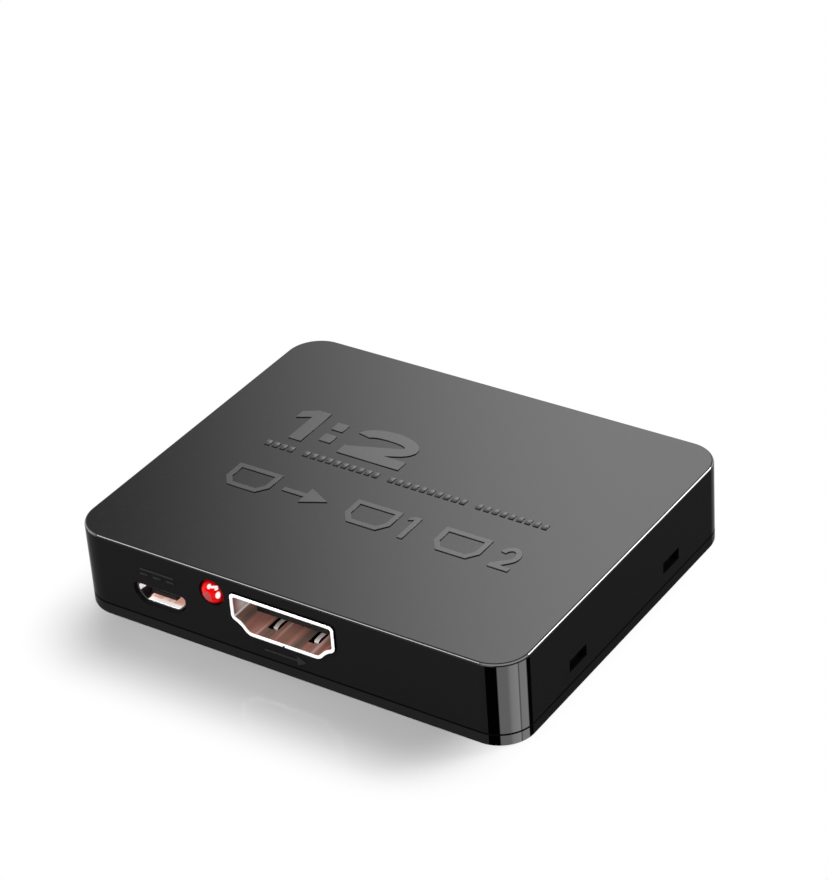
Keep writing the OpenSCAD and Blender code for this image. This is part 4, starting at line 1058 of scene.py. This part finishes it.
class SPLITTER_OT_tray(Operator):
    """Models the bottom tray with its lip, snap hooks, posts and pins"""

    bl_idname = "splitter.tray"
    bl_label = "Bottom Tray"

    def execute(self, context):
        s = settings().case
        seam = CASE_LOW.z
        obj = rounded_block("bottom_tray_moulding", TRAY_LOW.z, seam)
        bevel(obj, lambda a, b: max(a.z, b.z) < TRAY_LOW.z + NEAR, s.foot, SMALL_ROUND)
        bevel(obj, lambda a, b: min(a.z, b.z) > seam - NEAR, s.groove, CHAMFER)
        sink(obj, lambda c, n: n.z > FACES and c.z > seam - NEAR,
             (s.wall + s.lip_gap - s.groove, s.lip_height), (s.lip, s.floor - seam - s.lip_height))
        parts = []
        low, high = s.window_low + s.lip_gap, s.window_low + s.window_height - s.lip_gap
        side = [
            (-s.lip, s.floor - s.floor / 2), (0, s.floor - s.floor / 2), (0, low), (s.nose, low),
            (s.nose, low + (high - low) / 3), (0, high), (0, high + s.hook_head / 2),
            (-s.lip / 3, high + s.hook_head), (-s.lip, high + s.hook_head),
        ]
        for sx in (-1, 1):
            face = sx * (CASE_HIGH.x - s.wall - s.lip_gap)
            for sy in (-1, 1):
                near_end = sy * s.catch - (s.window / 2 - s.hook_gap)
                outline = [(face + sx * x, near_end, z) for x, z in side]
                parts.append(prism("hook", outline, (0, s.window - 2 * s.hook_gap, 0)))
        pin = ((s.post - s.pin) / 2, BOARD_HIGH.z - BOARD_LOW.z + s.pin_rise)
        for x, y in post_places():
            post = rod("post", (x, y, s.floor / 2), (x, y, BOARD_LOW.z), s.post / 2)
            sink(post, lambda c, n: n.z > FACES, pin)
            parts.append(post)
        combine(obj, parts, "UNION")
        finish_surface(obj, CASE_ANGLE)
        # The tray's own lighter tone with painted light on it and its sides; painted shade on the back, at
        # the seam and inside; painted reflections on the lit corners
        paint(
            obj, "moulded_tray",
            ("moulded_side", on_side_wall),
            ("moulded_back", on_back_wall),
            ("polished_corner", on_front_corner),
            ("polished_back", on_back_corner),
            ("seam_groove", lambda c, n: c.z > seam + NEAR or n.z > 0.5 and c.z > seam - s.groove))
        hand_over(obj, "case_plastic", "bottom_tray")
        return {"FINISHED"}


def sheet_tube(name, outline, depth, sheet, bend, inner_bend, lip):
    """A tube of sheet metal with its mouth at y = 0, its bottom at z = 0 and a rounded rim."""
    obj = prism(name, [(x, 0, z) for x, z in outline(0.0)], (0, depth, 0), bend=bend)
    bore = [(x, -sheet, z) for x, z in outline(-sheet)]
    inside = prism("cutter", bore, (0, depth + 2 * sheet, 0), bend=inner_bend)
    combine(obj, [inside], "DIFFERENCE")
    bevel(obj, lambda a, b: max(a.y, b.y) < NEAR, lip, 4)
    return obj


class SPLITTER_OT_video_shells(Operator):
    """Models one video socket's shell with its spring fingers and legs, and copies it to each socket"""

    bl_idname = "splitter.video_shells"
    bl_label = "Video Shells"

    def execute(self, context):
        s = settings().sockets
        bottom, legs_end = shell_bottom(), SHELL_LOW.z - shell_bottom()
        inner_bend = s.bend - s.sheet / 2
        obj = sheet_tube("input_shell_metal", video_outline, s.depth, s.sheet, s.bend, inner_bend, s.lip)
        half, foot, outer = s.seam / 2, s.base / 2 - 2 * s.sheet, s.finger / 2 + s.slot
        cutters = []
        for x in (-s.finger_x, s.finger_x):
            for z in (-s.sheet / 2, s.height - s.sheet * 1.5):
                start = (x - outer, s.finger_start, z)
                cutters.append(block("cutter", start, (x + outer, s.finger_end, z + 2 * s.sheet)))
        cutters.append(block("cutter", (-half, -s.sheet, -s.sheet / 2), (half, s.sheet, s.sheet * 0.6)))
        start = (-foot, (s.finger_end + s.depth) / 2, -s.sheet / 2)
        cutters.append(block("cutter", start, (foot, s.depth + s.sheet, s.sheet * 1.5)))
        combine(obj, cutters, "DIFFERENCE")

        tip, root, t, rise = s.finger_start + s.slot, s.finger_end + s.sheet, s.sheet, s.bead
        side = [
            (root, 0), (root, t), (tip + 3 * rise, t + rise), (tip, t + rise / 4),
            (tip, rise / 4), (tip + 3 * rise, rise),
        ]
        parts = []
        for sx in (-1, 1):
            x = sx * s.finger_x + s.slot / 2 - s.finger / 2
            for low, up in ((0, 1), (s.height, -1)):
                parts.append(prism("finger", [(x, y, low + up * z) for y, z in side], (s.finger, 0, 0)))
            for y in (s.leg_start, s.leg_start + s.leg_pitch):
                x = sorted((sx * s.width / 2, sx * (s.width / 2 - s.sheet)))
                leg = block("leg", (x[0], y, legs_end), (x[1], y + s.leg, s.side + s.leg / 2))
                bevel(leg, lambda a, b: max(a.z, b.z) < legs_end + NEAR and abs(a.y - b.y) < NEAR,
                      s.leg / 4, 3)
                parts.append(leg)
        combine(obj, parts, "UNION")
        move(obj, (0, SHELL_LOW.y, bottom))
        finish_surface(obj, METAL_ANGLE)

        floor_z, roof_z = bottom + s.sheet, bottom + s.height - s.sheet
        middle_z = (floor_z + roof_z) / 2
        first, last = SHELL_LOW.y + s.finger_start - NEAR, SHELL_LOW.y + s.finger_end + NEAR

        def cut_wall(c, n):
            in_sheet = c.z < floor_z - NEAR or c.z > roof_z + NEAR
            in_slot = first < c.y < last and abs(n.z) < 0.3 and abs(c.x) < s.finger_x + outer + NEAR
            in_notch = abs(n.x) > FACES and abs(c.x) < half + NEAR
            return in_sheet and (in_slot or in_notch)

        def sprung(c):
            beside = abs(abs(c.x - s.slot / 2) - s.finger_x) < s.finger / 2 + NEAR
            along = first + s.slot - NEAR < c.y < last
            return beside and along and floor_z - s.sheet < c.z < roof_z + s.sheet

        def outer_face(c, n):
            return abs(n.y) < 0.5 and n.x * c.x + n.z * (c.z - middle_z) > 0 and not sprung(c)

        def sprung_face(c, n):
            return sprung(c) and abs(n.x) < 0.5 and (n.z > 0.05 or n.y < -0.3 or c.z > middle_z)

        # Painted shadow on the cut walls of the slots and notch and on the shell's outside; painted light on
        # the spring fingers
        paint(obj, "nickel_sheet", ("cut_edge", lambda c, n: cut_wall(c, n) or outer_face(c, n)),
              ("nickel_finger", sprung_face))
        for n, x in ((1, OUT_X), (2, -OUT_X)):
            twin = copy_of(obj, "output_%d_shell_metal" % n)
            turn_round(twin, x)
            # The output shells take a lighter copy of the metal, as painted light
            twin.data.materials[0] = finish("nickel_output")
            hand_over(twin, "socket_metal", "output_%d_shell" % n)
        hand_over(obj, "socket_metal", "input_shell")
        return {"FINISHED"}


class SPLITTER_OT_usb_shell(Operator):
    """Models the micro-USB shell with the tabs that hold it to the board"""

    bl_idname = "splitter.usb_shell"
    bl_label = "Micro-USB Shell"

    def execute(self, context):
        s = settings().sockets
        sheet = s.usb_sheet
        obj = sheet_tube("usb_shell_metal", usb_outline, s.usb_depth, sheet, 2 * sheet, sheet, sheet * 0.3)
        tab = 3 * sheet
        parts = []
        for sx in (-1, 1):
            for y in (s.usb_depth / 3, s.usb_depth * 2 / 3):
                for out, high in ((tab, sheet), (-sheet, s.usb_side + sheet)):
                    x = sorted((sx * s.usb_width / 2, sx * (s.usb_width / 2 + out)))
                    parts.append(block("tab", (x[0], y, 0), (x[1], y + tab, high)))
        combine(obj, parts, "UNION")
        move(obj, (USB_X, USB_LOW.y, BOARD_HIGH.z))
        finish_surface(obj, METAL_ANGLE)
        paint(obj, "nickel_usb")
        hand_over(obj, "socket_metal", "usb_shell")
        return {"FINISHED"}


class SPLITTER_OT_lamps(Operator):
    """Spins one lamp's domed lens, hollows it round its wires and copies it to each hole"""

    bl_idname = "splitter.lamps"
    bl_label = "Indicator Lamps"

    def execute(self, context):
        s = settings().lamps
        radius, half = s.diameter / 2, s.wire / 2
        tip, back = LAMP_LOW.y, LAMP_HIGH.y
        profile = [(LAMP_X, tip, LAMP_Z)]
        for i in range(1, s.dome_steps + 1):
            a = math.pi / 2 * i / s.dome_steps
            profile.append((LAMP_X + radius * math.sin(a), tip + radius * (1 - math.cos(a)), LAMP_Z))
        profile += [(LAMP_X + radius, back, LAMP_Z), (LAMP_X, back, LAMP_Z)]
        obj = chain("power_lamp_lens", profile)
        enter(obj)
        bpy.ops.mesh.spin(steps=s.steps, angle=2 * math.pi, center=(LAMP_X, 0, LAMP_Z), axis=(0, 1, 0))
        bpy.ops.mesh.select_all(action="SELECT")
        bpy.ops.mesh.remove_doubles(threshold=DOUBLE)
        bpy.ops.mesh.normals_make_consistent(inside=False)
        leave()
        wires = [LAMP_X + sx * s.wire_pitch / 2 for sx in (-1, 1)]
        cutters = [
            block("cutter", (x - half, tip + radius, LAMP_Z - half), (x + half, back + s.wire, LAMP_Z + half))
            for x in wires
        ]
        cup, cup_back = (wires[0], tip + radius, LAMP_Z), (wires[0], tip + radius + s.wire, LAMP_Z)
        cutters.append(rod("cutter", cup, cup_back, (s.wire_pitch - s.wire) / 2, 24))
        combine(obj, cutters, "DIFFERENCE")
        finish_surface(obj, METAL_ANGLE)
        for n, x in ((1, OUT_LAMP_X), (2, -OUT_LAMP_X)):
            twin = copy_of(obj, "output_lamp_%d_lens" % n)
            move(twin, (-LAMP_X, 0, 0))
            turn_round(twin, x)
            paint(twin, "green_resin_%d" % n)
            hand_over(twin, "lamp_green", "output_led_%d_lens" % n)
        paint(obj, "red_resin")
        hand_over(obj, "lamp_red", "power_led_lens")
        return {"FINISHED"}


class SPLITTER_OT_marks(Operator):
    """Rounds the edges of the raised marks on the cover"""

    bl_idname = "splitter.marks"
    bl_label = "Raised Marks"

    def execute(self, context):
        edge, rounding = settings().case.edge, settings().marks.edge
        obj = copy_of(frame["nodes"]["cover_marks"], "raised_marks")
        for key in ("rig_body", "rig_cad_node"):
            if key in obj:
                del obj[key]
        obj.parent = None
        enter(obj)
        bpy.ops.mesh.remove_doubles(threshold=DOUBLE)
        bpy.ops.mesh.dissolve_limited(angle_limit=math.radians(1))
        leave()
        modify(obj, "BEVEL", width=rounding, segments=SMALL_ROUND,
               limit_method="ANGLE", angle_limit=math.radians(60))
        finish_surface(obj, METAL_ANGLE)
        # Marks on the walls take a darker copy of the ink: painted shade
        paint(obj, "raised_mark", (
            "wall_mark", lambda c, n: abs(c.y) > CASE_HIGH.y - edge and c.z < CASE_HIGH.z - edge))
        hand_over(obj, "mark_ink", "cover_marks")
        return {"FINISHED"}


class SPLITTER_OT_inner_parts(Operator):
    """Gives the circuit board, its chips and the sockets' inner pieces their materials"""

    bl_idname = "splitter.inner_parts"
    bl_label = "Inner Parts"

    def execute(self, context):
        sockets = ("input", "output_1", "output_2", "usb")
        looks = {
            "green_laminate": ("circuit_board",),
            "black_insulator": [name + "_insulator" for name in sockets],
            # The contacts' ends by the mouth take painted shade
            "plated_contact": [name + "_contacts" for name in sockets],
            "tinned_wire": (
                "power_led_frame", "output_led_1_frame", "output_led_2_frame", "splitter_chip_pins",
                "memory_chip_pins", "regulator_leads", "crystal_wires", "inductor_ends", "chip_ends",
            ),
            "chip_moulding": ("splitter_chip", "memory_chip", "regulators", "surge_arrays"),
            "satin_can": ("crystal_can",),
            "bright_can": ("capacitor_cans",),
            "capacitor_base": ("capacitor_bases",),
            "ferrite_core": ("power_inductor",),
            "tan_ceramic": ("chip_capacitors",),
            "black_ceramic": ("chip_resistors",),
        }
        for key, names in looks.items():
            for name in names:
                paint(frame["nodes"][name], key)
        return {"FINISHED"}


# Studio


CAMERA_RIGHT = Vector((0.83766, 0.54264, -0.06218))
CAMERA_DOWN = Vector((0.24813, -0.47948, -0.84174))
CAMERA_FORWARD = Vector((-0.48658, 0.68966, -0.53629))
# The camera's view, mirrored in the lid
MIRRORED_RIGHT = Vector((0.83766, 0.54264, 0.06218))
MIRRORED_FORWARD = Vector((-0.48658, 0.68966, 0.53629))
LAMP_DISTANCE = 0.6
ACROSS = (1, 0, 0)
# Centre of the panel that the lid mirrors, its width and height, and how much its glow rises along each
PANEL_CENTRE, PANEL_SIZE = (-0.2707, 0.3873, 0.305), (0.34, 0.24)
PANEL_FROM_LEFT, PANEL_GLOW, PANEL_UPWARDS = (-0.11, 0.07), (0.45, 3.8), (0.72, 1.42)
# The same of the dark screen in front
SCREEN_CENTRE, SCREEN_SIZE = (0, -0.7, 0.17), (2.2, 0.26)
SENSOR_WIDTH = 36
FLOOR_SIZE = 8


def turned(*columns):
    """The rotation whose X, Y and Z point along those directions."""
    return Matrix(columns).transposed().to_4x4()


def strip(name, towards, along, power, size, size_y, mirrored=True):
    """An area lamp in that direction, with its long side along the given axis."""
    data = bpy.data.lights.new(name, "AREA")
    data.shape = "RECTANGLE"
    data.size, data.size_y = size, size_y
    data.energy = power
    lamp = bpy.data.objects.new(name, data)
    bpy.context.scene.collection.objects.link(lamp)
    back = Vector(towards).normalized()
    side = Vector(along)
    side = (side - side.dot(back) * back).normalized()
    lamp.matrix_world = Matrix.Translation(back * LAMP_DISTANCE) @ turned(side, back.cross(side), back)
    lamp.visible_glossy = mirrored
    return lamp


def only_for(lamp, *names):
    """The lamp lights only the pieces of those names."""
    group = bpy.data.collections.new(lamp.name + "_reach")
    lamp.light_linking.receiver_collection = group
    for name in names:
        group.objects.link(bpy.data.objects[name])


def glowing_panel(name, matrix, hidden_from):
    """A panel that those kinds of ray don't meet, with the shader nodes and the glow that it shows."""
    deselect()
    bpy.ops.mesh.primitive_plane_add(size=1)
    panel = bpy.context.active_object
    panel.name = name
    panel.matrix_world = matrix
    mat, net, shader = new_material(name)
    net.nodes.remove(shader)
    glow = net.add("Emission")
    net.show("Material Output", glow.outputs["Emission"])
    panel.data.materials.append(mat)
    for kind in hidden_from:
        setattr(panel, "visible_" + kind, False)
    return net, glow


class SPLITTER_OT_stage(Operator):
    """Sets up the floor, the lights, the white background and the camera"""

    bl_idname = "splitter.stage"
    bl_label = "Studio"

    def execute(self, context):
        s = settings().stage
        scene = bpy.context.scene
        deselect()
        bpy.ops.mesh.primitive_plane_add(size=FLOOR_SIZE)
        floor = bpy.context.active_object
        floor.name = "studio_floor"
        mat, net, shader = new_material("pale_floor")
        net.fill(shader, Base_Color=s.floor, Roughness=0.12, IOR=1.25)
        floor.data.materials.append(mat)

        # The floor turns to plain white round the case, nearer on the left, behind and on the right
        nearer = {"X": (s.fade_back + s.fade_left) / 2, "Y": s.fade_back / 2}
        place = net.axes(net.place(location=((s.fade_back - s.fade_left) / 2, s.fade_back / 2, 0)))
        past = {}
        for axis, half in (("X", CASE_HIGH.x), ("Y", CASE_HIGH.y)):
            reach = net.math("SUBTRACT", net.math("ABSOLUTE", place[axis]), half - nearer[axis])
            past[axis] = net.math("MAXIMUM", reach, 0.0)
        distance = net.vector_math("LENGTH", net.add("CombineXYZ", **past).outputs["Vector"])
        fade = net.span(distance, s.fade / 5, s.fade, how="SMOOTHSTEP")
        glow = net.add("Emission", Color=WHITE, Strength=s.white).outputs["Emission"]
        share = net.math("MULTIPLY", net.background_rays(), fade)
        net.show("Material Output", shader.outputs["BSDF"], glow, share)

        world = bpy.data.worlds.new("studio")
        world.use_nodes = True
        scene.world = world
        net = Net(world.node_tree)
        plain = net.nodes["Background"]
        net.fill(plain, Color=WHITE, Strength=s.ambient)
        shown = net.add("Background", Color=WHITE, Strength=s.white).outputs["Background"]
        net.show("World Output", plain.outputs["Background"], shown, net.background_rays())

        strip("key_strip", (0.536, 0.69, 0.487), (0.487, 0, -0.536), s.key_power, 0.28, 0.24)
        strip("fill_strip", (-0.487, -0.536, 0.69), (0, -0.69, -0.535), s.fill_power, 0.25, 0.24)
        strip("front_strip", (0.1, -0.95, 0.3), ACROSS, s.front_power, 0.3, 0.14, mirrored=False)
        fill = strip("input_fill", (0.35, -0.9, 0.3), ACROSS, s.socket_power, 0.3, 0.14, mirrored=False)
        only_for(fill, "input_shell_metal", "usb_shell_metal")
        fill = strip("output_fill", (-0.35, 0.9, 0.3), ACROSS, s.socket_power, 0.3, 0.14, mirrored=False)
        only_for(fill, "output_1_shell_metal", "output_2_shell_metal")

        # A panel that the lid mirrors and that lights it, darker towards its left end
        back = -MIRRORED_FORWARD
        turn = turned(MIRRORED_RIGHT, back.cross(MIRRORED_RIGHT), back)
        matrix = Matrix.Translation(PANEL_CENTRE) @ turn @ Matrix.Diagonal((*PANEL_SIZE, 1, 1))
        net, glow = glowing_panel("gradient_panel", matrix, ("camera", "shadow"))
        place = net.axes(net.place(scale=(PANEL_SIZE[0], 1, 1)))
        level = net.span(place["X"], *PANEL_FROM_LEFT, *PANEL_GLOW, how="SMOOTHSTEP")
        rise = net.span(place["Y"], -0.5, 0.5, *PANEL_UPWARDS)
        net.fill(glow, Strength=net.math("MULTIPLY", level, rise))

        # A dark screen that only mirror images show, so that the lid stays black from behind
        turn = Matrix.Rotation(math.pi / 2, 4, "X")
        matrix = Matrix.Translation(SCREEN_CENTRE) @ turn @ Matrix.Diagonal((*SCREEN_SIZE, 1, 1))
        net, glow = glowing_panel("dark_screen", matrix, ("camera", "diffuse", "transmission", "shadow"))
        net.fill(glow, Strength=s.screen)

        data = bpy.data.cameras.new("camera")
        data.lens = s.focal
        data.sensor_width = SENSOR_WIDTH
        data.clip_start = 0.01
        data.dof.use_dof = False
        camera = bpy.data.objects.new("camera", data)
        scene.collection.objects.link(camera)
        turn = turned(CAMERA_RIGHT, -CAMERA_DOWN, -CAMERA_FORWARD)
        camera.matrix_world = Matrix.Translation(Vector(s.camera_place)) @ turn
        scene.camera = camera
        scene.view_settings.view_transform = "Standard"
        return {"FINISHED"}


class SPLITTER_PG_all(PropertyGroup):
    """All sizes and colours."""

    case: PointerProperty(type=SPLITTER_PG_case)
    sockets: PointerProperty(type=SPLITTER_PG_sockets)
    lamps: PointerProperty(type=SPLITTER_PG_lamps)
    marks: PointerProperty(type=SPLITTER_PG_marks)
    looks: PointerProperty(type=SPLITTER_PG_looks)
    stage: PointerProperty(type=SPLITTER_PG_stage)


STEPS = ("cover", "tray", "video_shells", "usb_shell", "lamps", "marks", "inner_parts", "stage")


class SPLITTER_PT_panel(Panel):
    """Sizes, colours and steps of the splitter"""

    bl_idname = "SPLITTER_PT_panel"
    bl_label = "Video Splitter"
    bl_space_type = "VIEW_3D"
    bl_region_type = "UI"
    bl_category = "Splitter"

    def draw(self, context):
        layout = self.layout
        for step in STEPS:
            layout.operator("splitter." + step)
        for group in SPLITTER_PG_all.__annotations__:
            box = layout.box()
            box.label(text=group.capitalize())
            part = getattr(context.scene.splitter, group)
            for name in part.__annotations__:
                box.prop(part, name)


CLASSES = (
    SPLITTER_PG_case, SPLITTER_PG_sockets, SPLITTER_PG_lamps, SPLITTER_PG_marks, SPLITTER_PG_looks,
    SPLITTER_PG_stage, SPLITTER_PG_all, SPLITTER_OT_cover, SPLITTER_OT_tray, SPLITTER_OT_video_shells,
    SPLITTER_OT_usb_shell, SPLITTER_OT_lamps, SPLITTER_OT_marks, SPLITTER_OT_inner_parts,
    SPLITTER_OT_stage, SPLITTER_PT_panel,
)


def register():
    for cls in CLASSES:
        bpy.utils.register_class(cls)
    bpy.types.Scene.splitter = PointerProperty(type=SPLITTER_PG_all)


def unregister():
    del bpy.types.Scene.splitter
    for cls in reversed(CLASSES):
        bpy.utils.unregister_class(cls)


def main():
    register()
    for step in STEPS:
        getattr(bpy.ops.splitter, step)()
    deselect()


if __name__ == "__main__":
    main()
